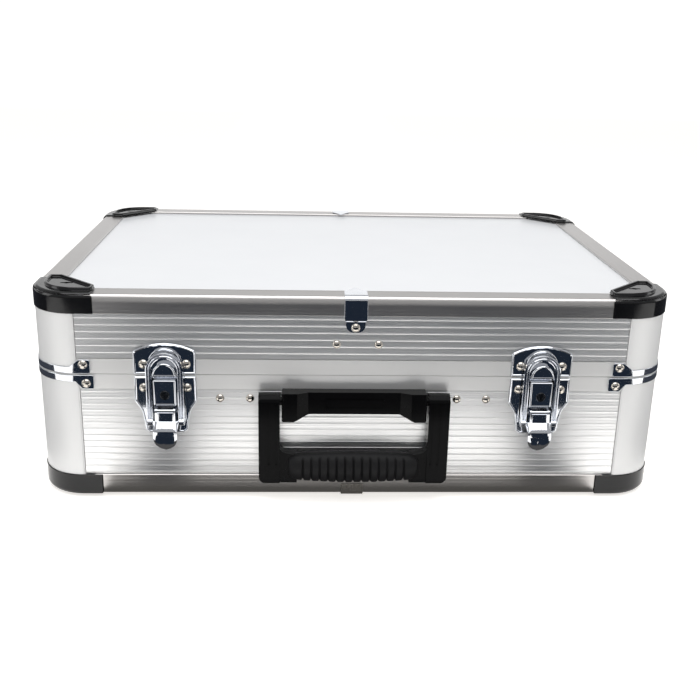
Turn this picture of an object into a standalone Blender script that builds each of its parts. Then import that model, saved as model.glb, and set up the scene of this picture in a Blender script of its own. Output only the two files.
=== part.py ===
"""Aluminium-framed equipment case with a hinged lid.

The base and the lid are boxes of laminated panels, held in aluminium edge profiles, quarter-round
corner posts and a tongue-and-groove rim, with moulded caps on the eight corners. The handle and the
two lockable draw latches face -Y. Metres, +Z up, and the case stands at z = 0 on the pads of its
bottom corner caps. Every solid keeps a small gap to its neighbours.
"""
import math

import bmesh
import bpy
from mathutils import Matrix, Vector

MM = 0.001

# Case body
CASE_X = 460 * MM              # over the edge profiles, left to right
CASE_Y = 330 * MM              # over the edge profiles, front to back
CASE_Z = 152 * MM              # over the edge profiles, bottom to top
PAD_RISE = 3 * MM              # how far the corner pads stand proud, above and below
LOW_Z = PAD_RISE
HIGH_Z = LOW_Z + CASE_Z
PARTING_Z = LOW_Z + 93.7 * MM
CORNER_R = 33 * MM             # plan radius at the outside of the edge profiles
CORNER_X = CASE_X / 2 - CORNER_R
CORNER_Y = CASE_Y / 2 - CORNER_R
GAP = 0.3 * MM                 # between solids that touch
BACK_SHIFT = 6.85 * MM         # puts the middle of handle, body and hinge on the origin
QUARTER_STEPS = 8
ROUND_STEPS = 16
SHARP_ANGLE = 35               # degrees; flatter edges are shaded smooth
OVERLAP = 0.5 * MM             # between shapes that are joined into one solid
PIN_RECESS = 0.1 * MM          # a pin's end, in from the face beside it

# Insets from the outside of the edge profiles
PANEL_INSET = 1.4 * MM
POST_INSET = 0.8 * MM
WALL = 6 * MM
LID_SHEET = 5 * MM             # thickness of the top and bottom panels

# Edge profiles
EDGE_FLANGE = 18.2 * MM
EDGE_SHEET = 1.5 * MM
EDGE_LEG_SHEET = PANEL_INSET - GAP
EDGE_ROUND = 2.5 * MM
LID_EDGE_LEG = 13.8 * MM
BASE_EDGE_LEG = 15.5 * MM
EDGE_UNDER_CAP = 5.5 * MM

# Corner posts: the base posts have a short flat each side of the quarter round
BASE_POST_FLAT = 1.4 * MM
LID_POST_FLAT = 0 * MM

# Rims
RIM_HEIGHT = 11.2 * MM
RIM_INNER_INSET = 11.5 * MM
TONGUE_INSET = 8.6 * MM
TONGUE_WIDTH = 1.4 * MM
TONGUE_HEIGHT = 3 * MM
GROOVE_PLAY = 0.5 * MM

# Corner caps
CAP_LEG = 47 * MM              # from the outside of the profiles to the end of a leg
CAP_SKIN = 0.8 * MM
CAP_DIAGONAL = 16 * MM         # inner end of a leg, from the outside of the profiles
PAD_INSET = 8.5 * MM
PAD_RIM = 3 * MM
PAD_SETBACK = 2 * MM           # from the end of a leg
PAD_DRAFT = 0.5 * MM
PAD_FLOOR = 1.4 * MM           # depth of the pad's recess

# Chrome corner brackets at the parting line
BRACKET_SHEET = 1 * MM
BRACKET_TAB_END = 12 * MM      # length of a tab beyond the corner post
BRACKET_TAB_HEIGHT = 10.3 * MM
BRACKET_BAND_HEIGHT = 5 * MM
BRACKET_OFF_PARTING = 0.6 * MM

# Draw latches, from the front plane of the edge profiles
FRONT_Y = -CASE_Y / 2
LATCH_X = 134.9 * MM
LATCH_SHEET = 1.4 * MM
LATCH_BACK_Y = FRONT_Y + POST_INSET - GAP
LATCH_FACE_Y = LATCH_BACK_Y - LATCH_SHEET
LATCH_HALF = 22.1 * MM
CATCH_LOW = PARTING_Z + 0.3 * MM
CATCH_SHOULDER = PARTING_Z + 17.7 * MM
CATCH_APEX = PARTING_Z + 23.5 * MM
DOME_HALF = 8.3 * MM
DOME_STRAIGHT = 1.8 * MM
DOME_Y = FRONT_Y - 6.5 * MM
PLATE_HIGH = PARTING_Z - 1.1 * MM
PLATE_TAPER = ((22.1, -20.3), (18.2, -26.0), (16.0, -33.0), (15.0, -42.0), (12.5, -44.2))
HOUSING_HALF = 8.1 * MM
HOUSING_LOW = PARTING_Z - 21.3 * MM
HOUSING_HIGH = PARTING_Z - 2.3 * MM
HOUSING_Y = FRONT_Y - 6 * MM
KEY_Z = PARTING_Z - 13.5 * MM
KEY_R = 3.3 * MM
KEY_DEPTH = 3 * MM
KEY_SLOT = (0.6 * MM, 1.5 * MM, 2.1 * MM)     # half width, reach up and in, reach down
LEVER_PIVOT_Y = FRONT_Y - 5.3 * MM
LEVER_PIVOT_Z = PARTING_Z - 25.5 * MM
LOOP_PIVOT_Y = FRONT_Y - 4.3 * MM
LOOP_PIVOT_Z = LEVER_PIVOT_Z - 9 * MM
PIVOT_PIN_R = 1.2 * MM
EAR_X = (5.6 * MM, 7.0 * MM)
EAR_R = 1.9 * MM
LEVER_HALF = 8.5 * MM
LEVER_SHEET = 1.2 * MM
LEVER_FLANGE = 1.1 * MM
LEVER_TIP = 28.8 * MM
TONGUE_ROUNDING = 12.75 * MM   # height of the oval end of the lever
LEVER_SIDE = ((-3.4, -0.4), (-3.4, -7.0), (-6.6, -12.0), (-7.2, -16.0), (-5.8, -23.0), (-3.2, -28.8))
LEVER_CHEEK = ((-2.8, 2.2), (2.2, 2.2), (3.4, -11.4), (-6.2, -13.5), (-6.0, -12.0), (-2.8, -7.0))
LOOP_INNER = 8.9 * MM
LOOP_OUTER = 13.3 * MM
LOOP_TOP = PARTING_Z + 17.9 * MM
LOOP_BACK_Y = FRONT_Y - 2.6 * MM
LOOP_FACE_Y = FRONT_Y - 6.0 * MM
LOOP_EYE_R = 2.6 * MM

# Handle
HANDLE_PIVOT_Y = FRONT_Y - 6.1 * MM
HANDLE_PIVOT_Z = LOW_Z + 76.5 * MM
HANDLE_PIN_R = 3 * MM
MOUNT_FACE_Y = FRONT_Y - 11 * MM
MOUNT_OUTLINE = ((52, 83.5), (52, 62), (43, 62), (32, 66.9))
MOUNT_RECESS = (21 * MM, 71.7 * MM, 77.7 * MM, 1.2 * MM)
ARM_X = (53.4 * MM, 68.5 * MM)
ARM_R = 6 * MM
ARM_BACK_Y = FRONT_Y - 0.4 * MM
ARM_FACE_Y = HANDLE_PIVOT_Y - ARM_R
ARM_LOW = LOW_Z + 14.5 * MM
ARM_CORNER = 4 * MM
BAR_Y = (FRONT_Y - 5.5 * MM, FRONT_Y - 12 * MM)
BAR_HALF_HEIGHT = 5 * MM
GRIP_HALF = 47 * MM
GRIP_Y = FRONT_Y - 8.9 * MM
GRIP_Z = LOW_Z + 26.8 * MM
GRIP_RADII = (9.4 * MM, 12.2 * MM)
GRIP_END = 8 * MM
GRIP_END_SCALE = 0.72
GRIP_END_SLOPES = (0, 30, 60, 90)
GRIP_STEPS = 24
SHOULDER_HIGH = LOW_Z + 38 * MM

# Rear hinge
HINGE_Y = CASE_Y / 2 + 2.2 * MM
HINGE_HALF = 150 * MM
HINGE_KNUCKLES = 9
HINGE_PLAY = 0.25 * MM
KNUCKLE_R = 2.4 * MM
KNUCKLE_STEPS = 12
HINGE_PIN_R = 1 * MM
HINGE_SHEET = 1 * MM
LEAF_REACH = 12.5 * MM
LEAF_CLEAR = 2.9 * MM
LEAF_TAB = 0.8 * MM

# Clip folded over the lid's front edge
CLIP_HALF = 8.2 * MM
CLIP_SHEET = 0.8 * MM
CLIP_TOP_REACH = 23.4 * MM
CLIP_TOP_SHOULDER = 12.5 * MM
CLIP_LEG = 17 * MM
CLIP_TAB = 26 * MM

FINISHES = {
    "panel": ((0.86, 0.87, 0.88, 1), 0.35, 0.7),
    "aluminium": ((0.72, 0.73, 0.74, 1), 0.32, 1.0),
    "edge": ((0.42, 0.42, 0.43, 1), 0.38, 1.0),
    "chrome": ((0.80, 0.81, 0.83, 1), 0.06, 1.0),
    "cap": ((0.012, 0.012, 0.014, 1), 0.18, 0.0),
    "handle": ((0.018, 0.018, 0.020, 1), 0.30, 0.0),
    "grip": ((0.030, 0.031, 0.033, 1), 0.60, 0.0),
}

SIDES = (
    ("front", 0, CASE_X, CASE_Y),
    ("right", 90, CASE_Y, CASE_X),
    ("back", 180, CASE_X, CASE_Y),
    ("left", 270, CASE_Y, CASE_X),
)
CORNERS = (
    ("front_left", -1, -1),
    ("front_right", 1, -1),
    ("back_right", 1, 1),
    ("back_left", -1, 1),
)
LATCHES = (("left", -LATCH_X), ("right", LATCH_X))


# Shape tools

def clear_scene():
    for item in list(bpy.data.objects):
        bpy.data.objects.remove(item)


def arc(centre, radius, start, stop, steps=QUARTER_STEPS):
    """Points on an arc, angles in degrees; radius may be one value or one for each axis."""
    across, up = radius if isinstance(radius, tuple) else (radius, radius)
    angles = [math.radians(start + (stop - start) * i / steps) for i in range(steps + 1)]
    return [(centre[0] + across * math.cos(a), centre[1] + up * math.sin(a)) for a in angles]


def circle(centre, radius, steps=ROUND_STEPS):
    return arc(centre, radius, 0, 360, steps)[:-1]


def loft(levels, axis="Z"):
    """Close a stack of outlines with equal point counts, given as (outline, height) pairs."""
    lay = {
        "X": lambda u, v, w: (w, u, v),
        "Y": lambda u, v, w: (u, w, v),
        "Z": lambda u, v, w: (u, v, w),
    }[axis]
    shape = bmesh.new()
    rings = [[shape.verts.new(lay(u, v, w)) for u, v in outline] for outline, w in levels]
    shape.faces.new(rings[0])
    shape.faces.new(rings[-1])
    count = len(rings[0])
    for lower, upper in zip(rings, rings[1:]):
        for i in range(count):
            j = (i + 1) % count
            shape.faces.new((lower[i], lower[j], upper[j], upper[i]))
    bmesh.ops.recalc_face_normals(shape, faces=shape.faces)
    mesh = bpy.data.meshes.new("shape")
    shape.to_mesh(mesh)
    shape.free()
    return mesh


def prism(outline, low, high, axis="Z"):
    return loft(((outline, low), (outline, high)), axis)


def block(x, y, z):
    """A box from three (low, high) pairs."""
    return prism([(x[0], y[0]), (x[1], y[0]), (x[1], y[1]), (x[0], y[1])], *z)


def combine(mesh, tool_mesh, operation):
    """Join a closed mesh with another, or cut it by the other."""
    target = bpy.data.objects.new("target", mesh)
    tool = bpy.data.objects.new("tool", tool_mesh)
    for item in (target, tool):
        bpy.context.scene.collection.objects.link(item)
    modifier = target.modifiers.new("combine", "BOOLEAN")
    modifier.operation = operation
    modifier.object = tool
    graph = bpy.context.evaluated_depsgraph_get()
    result = bpy.data.meshes.new_from_object(target.evaluated_get(graph))
    for item in (target, tool):
        bpy.data.objects.remove(item)
    return result


def join(mesh, *others):
    for other in others:
        mesh = combine(mesh, other, "UNION")
    return mesh


def cut(mesh, *others):
    for other in others:
        mesh = combine(mesh, other, "DIFFERENCE")
    return mesh


def mirrored(mesh, *signs):
    copy = mesh.copy()
    copy.transform(Matrix.Diagonal((*signs, 1)))
    if math.prod(signs) < 0:
        copy.flip_normals()
    return copy


def both_ways(half):
    """Whole outline from its right half, given from the top down."""
    return list(half) + [(-u, v) for u, v in reversed(half) if u > MM / 1000]


# Placing

def add_pivot(name, parent, place):
    """An empty on a joint's axis; places are in the case's own frame."""
    pivot = bpy.data.objects.new(name, None)
    bpy.context.scene.collection.objects.link(pivot)
    pivot.location = place
    if parent:
        attach(pivot, parent)
    return pivot, Vector(place)


def attach(item, parent):
    pivot, place = parent
    item.parent = pivot
    item.matrix_parent_inverse = Matrix.Translation(-place)


def finish_material(name, finish):
    colour, roughness, metallic = FINISHES[finish]
    material = bpy.data.materials.new(name + "_" + finish)
    material.use_nodes = True
    shader = material.node_tree.nodes["Principled BSDF"]
    shader.inputs["Base Color"].default_value = colour
    shader.inputs["Roughness"].default_value = roughness
    shader.inputs["Metallic"].default_value = metallic
    return material


def place(name, mesh, finish, body, location=(0, 0, 0), turn=0):
    """Make a named piece from a mesh, on a body's pivot, at its place in the case's frame."""
    piece = bpy.data.objects.new(name, mesh)
    bpy.context.scene.collection.objects.link(piece)
    mesh.name = name
    mesh.materials.clear()
    mesh.materials.append(finish_material(name, finish))
    mesh.shade_smooth()
    mesh.set_sharp_from_angle(angle=math.radians(SHARP_ANGLE))
    piece.location = location
    piece.rotation_euler.z = math.radians(turn)
    attach(piece, body)


# Panels, posts and rims

def case_outline(inset):
    """Plan outline of the case, drawn in by an inset, with its corners round."""
    points = []
    for quarter, (sx, sy) in enumerate(((1, 1), (-1, 1), (-1, -1), (1, -1))):
        centre = (sx * CORNER_X, sy * CORNER_Y)
        points += arc(centre, CORNER_R - inset, quarter * 90, quarter * 90 + 90)
    return points


def make_sheet(name, body, low, high):
    """The flat top or bottom panel."""
    place(name, prism(case_outline(PANEL_INSET), low, high), "panel", body)


def make_walls(prefix, body, low, high, post_flat):
    for side, turn, run, across in SIDES:
        half = run / 2 - CORNER_R - post_flat - GAP
        face = -across / 2 + PANEL_INSET
        wall = block((-half, half), (face, face + WALL), (low, high))
        place(prefix + "_panel_" + side, wall, "aluminium", body, turn=turn)


def make_posts(prefix, body, low, high, flat):
    outer, inner = CORNER_R - POST_INSET, CORNER_R - POST_INSET - WALL
    outline = [(-flat, outer)] if flat else []
    outline += arc((0, 0), outer, 90, 0)
    if flat:
        outline += [(outer, -flat), (inner, -flat)]
    outline += arc((0, 0), inner, 0, 90)
    if flat:
        outline += [(-flat, inner)]
    post = prism(outline, low, high)
    for corner, sx, sy in CORNERS:
        centre = (sx * CORNER_X, sy * CORNER_Y, 0)
        place(prefix + "_post_" + corner, mirrored(post, sx, sy, 1), "aluminium", body, centre)


def rim_outline(post_flat):
    """Rim plan: flush with the posts between them, and stepped in behind each post."""
    behind = POST_INSET + WALL + GAP
    radius = CORNER_R - behind
    step = post_flat + GAP
    outer = CORNER_R - POST_INSET
    points = []
    for quarter, (sx, sy) in enumerate(((1, 1), (-1, 1), (-1, -1), (1, -1))):
        turn = Matrix.Rotation(math.radians(quarter * 90), 2)
        corner = [(outer, -step), (radius, -step)]
        corner += arc((0, 0), radius, 0, 90) + [(-step, radius), (-step, outer)]
        for u, v in corner:
            spot = turn @ Vector((u, v))
            points.append((sx * CORNER_X + spot.x, sy * CORNER_Y + spot.y))
    return points


def ring(outer, inner, low, high):
    """An upright wall between two plan outlines."""
    return cut(prism(outer, low, high), prism(inner, low - MM, high + MM))


def make_base_rim(body):
    top = PARTING_Z - GAP / 2
    rim = ring(rim_outline(BASE_POST_FLAT), case_outline(RIM_INNER_INSET), top - RIM_HEIGHT, top)
    tongue = ring(
        case_outline(TONGUE_INSET), case_outline(TONGUE_INSET + TONGUE_WIDTH), top - MM, top + TONGUE_HEIGHT
    )
    place("base_rim", join(rim, tongue), "aluminium", body)


def make_lid_rim(body):
    low = PARTING_Z + GAP / 2
    rim = ring(rim_outline(LID_POST_FLAT), case_outline(RIM_INNER_INSET), low, low + RIM_HEIGHT)
    groove = ring(
        case_outline(TONGUE_INSET - GROOVE_PLAY),
        case_outline(TONGUE_INSET + TONGUE_WIDTH + GROOVE_PLAY),
        low - MM,
        low + TONGUE_HEIGHT + GROOVE_PLAY,
    )
    place("lid_rim", cut(rim, groove), "aluminium", body)


# Edge profiles and corner caps: drawn for the lid, with z = 0 at the profiles' top face

def edge_section(leg):
    """Angle section seen from its end: the outside of the leg is at u = 0, the top at v = 0."""
    rounded = arc((EDGE_ROUND, -EDGE_ROUND), EDGE_ROUND, 90, 180, QUARTER_STEPS // 2)
    return [(EDGE_FLANGE, 0)] + rounded + [
        (0, -leg),
        (EDGE_LEG_SHEET, -leg),
        (EDGE_LEG_SHEET, -EDGE_SHEET),
        (EDGE_FLANGE, -EDGE_SHEET),
    ]


def make_edges(prefix, body, leg, level, up):
    for side, turn, run, across in SIDES:
        half = run / 2 - CAP_LEG + EDGE_UNDER_CAP
        section = [(u - across / 2, v) for u, v in edge_section(leg)]
        edge = mirrored(prism(section, -half, half, "X"), 1, 1, up)
        place(prefix + "_edge_" + side, edge, "edge", body, (0, 0, level), turn)


def cap_outline(inset, leg_end, diagonal):
    """Plan of a corner cap: round corner, two legs, and the diagonal between them."""
    end_x, end_y = CASE_X / 2 - leg_end, CASE_Y / 2 - leg_end
    corner = arc((CORNER_X, CORNER_Y), CORNER_R - inset, 90, 0)
    return [
        (end_x, CASE_Y / 2 - diagonal),
        (end_x, CASE_Y / 2 - inset),
        *corner,
        (CASE_X / 2 - inset, end_y),
        (CASE_X / 2 - diagonal, end_y),
    ]


def cap_shell(skirt, proud, leg_end, diagonal):
    """Solid of a cap with its top edge rounded, standing proud of the profiles all over."""
    radius = EDGE_ROUND + proud
    levels = [(cap_outline(-proud, leg_end, diagonal), -skirt)]
    for out, height in arc((EDGE_ROUND, -EDGE_ROUND), radius, 180, 90, QUARTER_STEPS // 2):
        levels.append((cap_outline(out, leg_end, diagonal), height))
    return loft(levels)


def make_caps(prefix, body, skirt, level, up):
    top = GAP + CAP_SKIN
    shell = cap_shell(skirt, top, CAP_LEG, CAP_DIAGONAL)
    hollow = cap_shell(skirt + MM, GAP, 2 * CAP_LEG, CAP_LEG)
    pad_end = CAP_LEG - PAD_SETBACK
    pad = loft((
        (cap_outline(PAD_INSET - PAD_DRAFT, pad_end, CAP_DIAGONAL), top - CAP_SKIN / 2),
        (cap_outline(PAD_INSET, pad_end, CAP_DIAGONAL + PAD_DRAFT), PAD_RISE),
    ))
    recess_end = pad_end - 2 * PAD_RIM
    recess_diagonal = pad_end + CAP_DIAGONAL - recess_end + math.sqrt(2) * PAD_RIM
    recess_outline = cap_outline(PAD_INSET + PAD_RIM, recess_end, recess_diagonal)
    recess = prism(recess_outline, PAD_RISE - PAD_FLOOR, PAD_RISE + MM)
    cap = cut(join(cut(shell, hollow), pad), recess)
    for corner, sx, sy in CORNERS:
        name = prefix + "_cap_" + corner
        place(name, mirrored(cap, sx, sy, up), "cap", body, (0, 0, level))


# Chrome corner brackets

def make_brackets(prefix, body, up):
    """Band round each post beside the parting line, with a taller tab at each end."""
    inner_r = CORNER_R - POST_INSET + GAP
    outer_r = inner_r + BRACKET_SHEET
    tab = BRACKET_TAB_END
    outline = [(-tab, outer_r)] + arc((0, 0), outer_r, 90, 0) + [(outer_r, -tab), (inner_r, -tab)]
    outline += arc((0, 0), inner_r, 0, 90) + [(-tab, inner_r)]
    low = BRACKET_OFF_PARTING
    strip = prism(outline, low, low + BRACKET_TAB_HEIGHT)
    band_top = low + BRACKET_BAND_HEIGHT
    above = block((MM, CORNER_R * 2), (MM, CORNER_R * 2), (band_top, band_top + BRACKET_TAB_HEIGHT))
    bracket = cut(strip, above)
    for corner, sx, sy in CORNERS:
        centre = (sx * CORNER_X, sy * CORNER_Y, PARTING_Z)
        place(prefix + "_bracket_" + corner, mirrored(bracket, sx, sy, up), "chrome", body, centre)


# Latches: drawn about x = 0 and placed left and right

def make_catch(name, x, body):
    """Lid catch: an arched plate with the half-round dome that the loop closes over."""
    rise = CATCH_APEX - CATCH_SHOULDER
    radius = (LATCH_HALF**2 + rise**2) / (2 * rise)
    reach = math.degrees(math.asin(LATCH_HALF / radius))
    arch = arc((0, CATCH_APEX - radius), radius, 90, 90 - reach)
    plate = prism(both_ways(arch + [(LATCH_HALF, CATCH_LOW)]), LATCH_FACE_Y, LATCH_BACK_Y, "Y")
    dome_arc = arc((0, CATCH_LOW + DOME_STRAIGHT), DOME_HALF, 90, 0)
    dome = prism(both_ways(dome_arc + [(DOME_HALF, CATCH_LOW)]), DOME_Y, LATCH_FACE_Y + OVERLAP, "Y")
    place(name, join(plate, dome), "chrome", body, (x, 0, 0))


def make_latch_plate(name, x, body):
    """Base plate with the lock housing and the two ears that carry the lever's pin."""
    taper = [(u * MM, PARTING_Z + v * MM) for u, v in PLATE_TAPER]
    plate = prism(both_ways([(LATCH_HALF, PLATE_HIGH)] + taper), LATCH_FACE_Y, LATCH_BACK_Y, "Y")
    root = LATCH_FACE_Y + OVERLAP
    housing = prism(
        both_ways([(HOUSING_HALF, HOUSING_HIGH), (HOUSING_HALF, HOUSING_LOW)]), HOUSING_Y, root, "Y"
    )
    bore = prism(circle((0, KEY_Z), KEY_R + GAP), HOUSING_Y - MM, HOUSING_Y + KEY_DEPTH + GAP, "Y")
    ear_profile = arc((LEVER_PIVOT_Y, LEVER_PIVOT_Z), EAR_R, 90, 270)
    ear_profile += [(root, LEVER_PIVOT_Z - EAR_R), (root, LEVER_PIVOT_Z + EAR_R)]
    ears = [prism(ear_profile, *ends, "X") for ends in both_sides(*EAR_X)]
    pin_end = LEVER_HALF - PIN_RECESS
    pin = prism(circle((LEVER_PIVOT_Y, LEVER_PIVOT_Z), PIVOT_PIN_R), -pin_end, pin_end, "X")
    place(name, join(cut(join(plate, housing), bore), *ears, pin), "chrome", body, (x, 0, 0))


def make_key_plug(name, x, body):
    plug = prism(circle((0, 0), KEY_R), 0, KEY_DEPTH, "Y")
    half_slot, reach, drop = KEY_SLOT
    slot = block((-half_slot, half_slot), (-MM, reach), (-drop, reach))
    place(name, cut(plug, slot), "chrome", body, (x, HOUSING_Y, KEY_Z))


def lever_web():
    """The bent front of the lever, its tip rounded like a tongue."""
    outer = [(u * MM, v * MM) for u, v in LEVER_SIDE]
    inner = [(u + LEVER_SHEET, v) for u, v in outer]
    web = prism(outer + inner[::-1], -LATCH_HALF, LATCH_HALF, "X")
    tongue = [(LEVER_HALF, LEVER_HALF)]
    tongue += arc((0, -LEVER_TIP + TONGUE_ROUNDING), (LEVER_HALF, TONGUE_ROUNDING), 0, -90)
    return combine(web, prism(both_ways(tongue), -LATCH_HALF, LATCH_HALF, "Y"), "INTERSECT")


def both_sides(low, high):
    """The two x ranges that mirror each other."""
    return (low, high), (-high, -low)


def make_lever(name, x, body):
    """Lever with a cheek each side, turning on the plate's pin and carrying the loop's pins."""
    lever = lever_web()
    cheek = [(u * MM, v * MM) for u, v in LEVER_CHEEK]
    for ends in both_sides(LEVER_HALF - LEVER_FLANGE, LEVER_HALF):
        lever = join(lever, prism(cheek, *ends, "X"))
    loop_pin = circle((LOOP_PIVOT_Y - LEVER_PIVOT_Y, LOOP_PIVOT_Z - LEVER_PIVOT_Z), PIVOT_PIN_R)
    for ends in both_sides(LEVER_HALF - LEVER_FLANGE / 2, LOOP_OUTER - GAP):
        lever = join(lever, prism(loop_pin, *ends, "X"))
    lever = cut(lever, prism(circle((0, 0), PIVOT_PIN_R + GAP), -LATCH_HALF, LATCH_HALF, "X"))
    place(name, lever, "chrome", body, (x, LEVER_PIVOT_Y, LEVER_PIVOT_Z))


def make_loop(name, x, body):
    """Draw loop: an inverted U with an eye at the foot of each leg."""
    crown = LOOP_TOP - LOOP_OUTER - LOOP_PIVOT_Z
    outline = arc((0, crown), LOOP_OUTER, 0, 180, 2 * QUARTER_STEPS) + [(-LOOP_OUTER, 0), (-LOOP_INNER, 0)]
    outline += arc((0, crown), LOOP_INNER, 180, 0, 2 * QUARTER_STEPS) + [(LOOP_INNER, 0), (LOOP_OUTER, 0)]
    back, face = LOOP_BACK_Y - LOOP_PIVOT_Y, LOOP_FACE_Y - LOOP_PIVOT_Y
    loop = prism(outline, face, back, "Y")
    for ends in both_sides(LOOP_INNER, LOOP_OUTER):
        loop = join(loop, prism(circle((0, 0), LOOP_EYE_R), *ends, "X"))
    loop = cut(loop, prism(circle((0, 0), PIVOT_PIN_R + GAP), -LATCH_HALF, LATCH_HALF, "X"))
    place(name, loop, "chrome", body, (x, LOOP_PIVOT_Y, LOOP_PIVOT_Z))


# Handle

def make_handle_mount(body):
    """Fixed bracket between the handle's arms, with the pins that the arms turn on."""
    half = [(u * MM, LOW_Z + v * MM) for u, v in MOUNT_OUTLINE]
    mount = prism(both_ways(half), MOUNT_FACE_Y, LATCH_BACK_Y, "Y")
    reach, low, high, depth = MOUNT_RECESS
    recess = block((-reach, reach), (MOUNT_FACE_Y - MM, MOUNT_FACE_Y + depth), (LOW_Z + low, LOW_Z + high))
    pin_end = (ARM_X[0] + ARM_X[1]) / 2
    pin = prism(circle((HANDLE_PIVOT_Y, HANDLE_PIVOT_Z), HANDLE_PIN_R), -pin_end, pin_end, "X")
    place("handle_mount", cut(join(mount, pin), recess), "handle", body)


def make_handle_bail(body):
    """Handle frame: two arms, a shoulder beside each, and the bar inside the grip."""
    y, z = HANDLE_PIVOT_Y, HANDLE_PIVOT_Z
    inner, outer = ARM_X
    neck = GRIP_HALF + GAP
    back, face, low = ARM_BACK_Y - y, ARM_FACE_Y - y, ARM_LOW - z
    arm_side = arc((0, 0), ARM_R, 180, 0) + [(back, -ARM_R), (back, low), (face, low)]
    bar_z = (GRIP_Z - BAR_HALF_HEIGHT - z, GRIP_Z + BAR_HALF_HEIGHT - z)
    bail = block((-neck - MM, neck + MM), (BAR_Y[1] - y, BAR_Y[0] - y), bar_z)
    for ends in both_sides(neck, inner + MM):
        bail = join(bail, block(ends, (face, back), (low, SHOULDER_HIGH - z)))
    for ends in both_sides(inner, outer):
        bail = join(bail, prism(arm_side, *ends, "X"))
    corner = arc((outer - ARM_CORNER, low + ARM_CORNER), ARM_CORNER, 0, -90)
    outline = prism(both_ways([(outer, 2 * ARM_R)] + corner), 2 * face, 2 * back, "Y")
    bail = combine(bail, outline, "INTERSECT")
    eye_end = (inner + outer) / 2 + GAP
    bail = cut(bail, prism(circle((0, 0), HANDLE_PIN_R + GAP), -eye_end, eye_end, "X"))
    place("handle_bail", bail, "handle", body, (0, y, z))


def make_handle_grip(body):
    """Soft grip moulded round the bar: an oval sleeve with rounded ends."""
    deep, tall = GRIP_RADII
    half = []
    for slope in map(math.radians, GRIP_END_SLOPES):
        scale = GRIP_END_SCALE + (1 - GRIP_END_SCALE) * math.cos(slope)
        oval = circle((0, 0), (deep * scale, tall * scale), GRIP_STEPS)
        half.append((oval, GRIP_HALF - GRIP_END + GRIP_END * math.sin(slope)))
    sleeve = loft([(oval, -end) for oval, end in reversed(half)] + half, "X")
    bar = block(
        (-GRIP_HALF - MM, GRIP_HALF + MM),
        (BAR_Y[1] - GAP - GRIP_Y, BAR_Y[0] + GAP - GRIP_Y),
        (-BAR_HALF_HEIGHT - GAP, BAR_HALF_HEIGHT + GAP),
    )
    place("handle_grip", cut(sleeve, bar), "grip", body, (0, GRIP_Y, GRIP_Z))


# Rear hinge

def make_hinge_leaf(name, body, first, up, has_pin):
    """One leaf with every second knuckle, drawn upwards; one leaf also carries the pin."""
    back = CASE_Y / 2 - POST_INSET + GAP - HINGE_Y
    leaf_y = (back, back + HINGE_SHEET)
    leaf = block((-HINGE_HALF, HINGE_HALF), leaf_y, (LEAF_CLEAR, LEAF_REACH))
    pitch = 2 * HINGE_HALF / HINGE_KNUCKLES
    for i in range(first, HINGE_KNUCKLES, 2):
        low = -HINGE_HALF + i * pitch + HINGE_PLAY
        high = low + pitch - 2 * HINGE_PLAY
        tab = block((low, high), leaf_y, (LEAF_TAB, LEAF_CLEAR + MM))
        leaf = join(leaf, tab, prism(circle((0, 0), KNUCKLE_R, KNUCKLE_STEPS), low, high, "X"))
    if has_pin:
        pin = circle((0, 0), HINGE_PIN_R, KNUCKLE_STEPS)
        leaf = join(leaf, prism(pin, -HINGE_HALF + MM, HINGE_HALF - MM, "X"))
    else:
        bore = circle((0, 0), HINGE_PIN_R + GAP, KNUCKLE_STEPS)
        leaf = cut(leaf, prism(bore, -HINGE_HALF - MM, HINGE_HALF + MM, "X"))
    place(name, mirrored(leaf, 1, 1, up), "aluminium", body, (0, HINGE_Y, PARTING_Z))


# Clip

def make_top_clip(body):
    """Chrome clip folded over the lid's front edge, with a riveted tab on the panel."""
    out, sheet = GAP, CLIP_SHEET
    fold = EDGE_ROUND + out
    outside = arc((EDGE_ROUND, -EDGE_ROUND), fold + sheet, 90, 180, QUARTER_STEPS // 2)
    inside = arc((EDGE_ROUND, -EDGE_ROUND), fold, 180, 90, QUARTER_STEPS // 2)
    step = PANEL_INSET - GAP
    tab_top = -LID_EDGE_LEG - GAP
    profile = [(CLIP_TOP_REACH, out + sheet)] + outside
    profile += [(-out - sheet, -CLIP_LEG), (step - sheet, -CLIP_LEG - step), (step - sheet, -CLIP_TAB)]
    profile += [(step, -CLIP_TAB), (step, tab_top - step), (-out, tab_top)]
    profile += inside + [(CLIP_TOP_REACH, out)]
    strip = prism([(u + FRONT_Y, v) for u, v in profile], -CLIP_HALF, CLIP_HALF, "X")
    half_plan = [(CLIP_HALF, FRONT_Y + CLIP_TOP_SHOULDER), (CLIP_HALF, FRONT_Y - CLIP_TAB)]
    plan = [(0, FRONT_Y + CLIP_TOP_REACH)] + both_ways(half_plan)
    clip = combine(strip, prism(plan, -CLIP_TAB - MM, CLIP_TAB), "INTERSECT")
    place("top_clip", clip, "chrome", body, (0, 0, HIGH_Z))


# Assembly

def make_base(body):
    floor = LOW_Z + EDGE_SHEET + GAP
    wall_low = floor + LID_SHEET + GAP
    rim_low = PARTING_Z - GAP / 2 - RIM_HEIGHT
    make_sheet("bottom_panel", body, floor, floor + LID_SHEET)
    make_walls("base", body, wall_low, rim_low - GAP, BASE_POST_FLAT)
    make_posts("base", body, wall_low, PARTING_Z - GAP / 2, BASE_POST_FLAT)
    make_edges("bottom", body, BASE_EDGE_LEG, LOW_Z, -1)
    make_caps("bottom", body, BASE_EDGE_LEG, LOW_Z, -1)
    make_base_rim(body)
    make_brackets("base", body, -1)
    make_handle_mount(body)
    make_hinge_leaf("hinge_base_leaf", body, 0, -1, True)
    for side, x in LATCHES:
        make_latch_plate("latch_plate_" + side, x, body)


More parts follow.
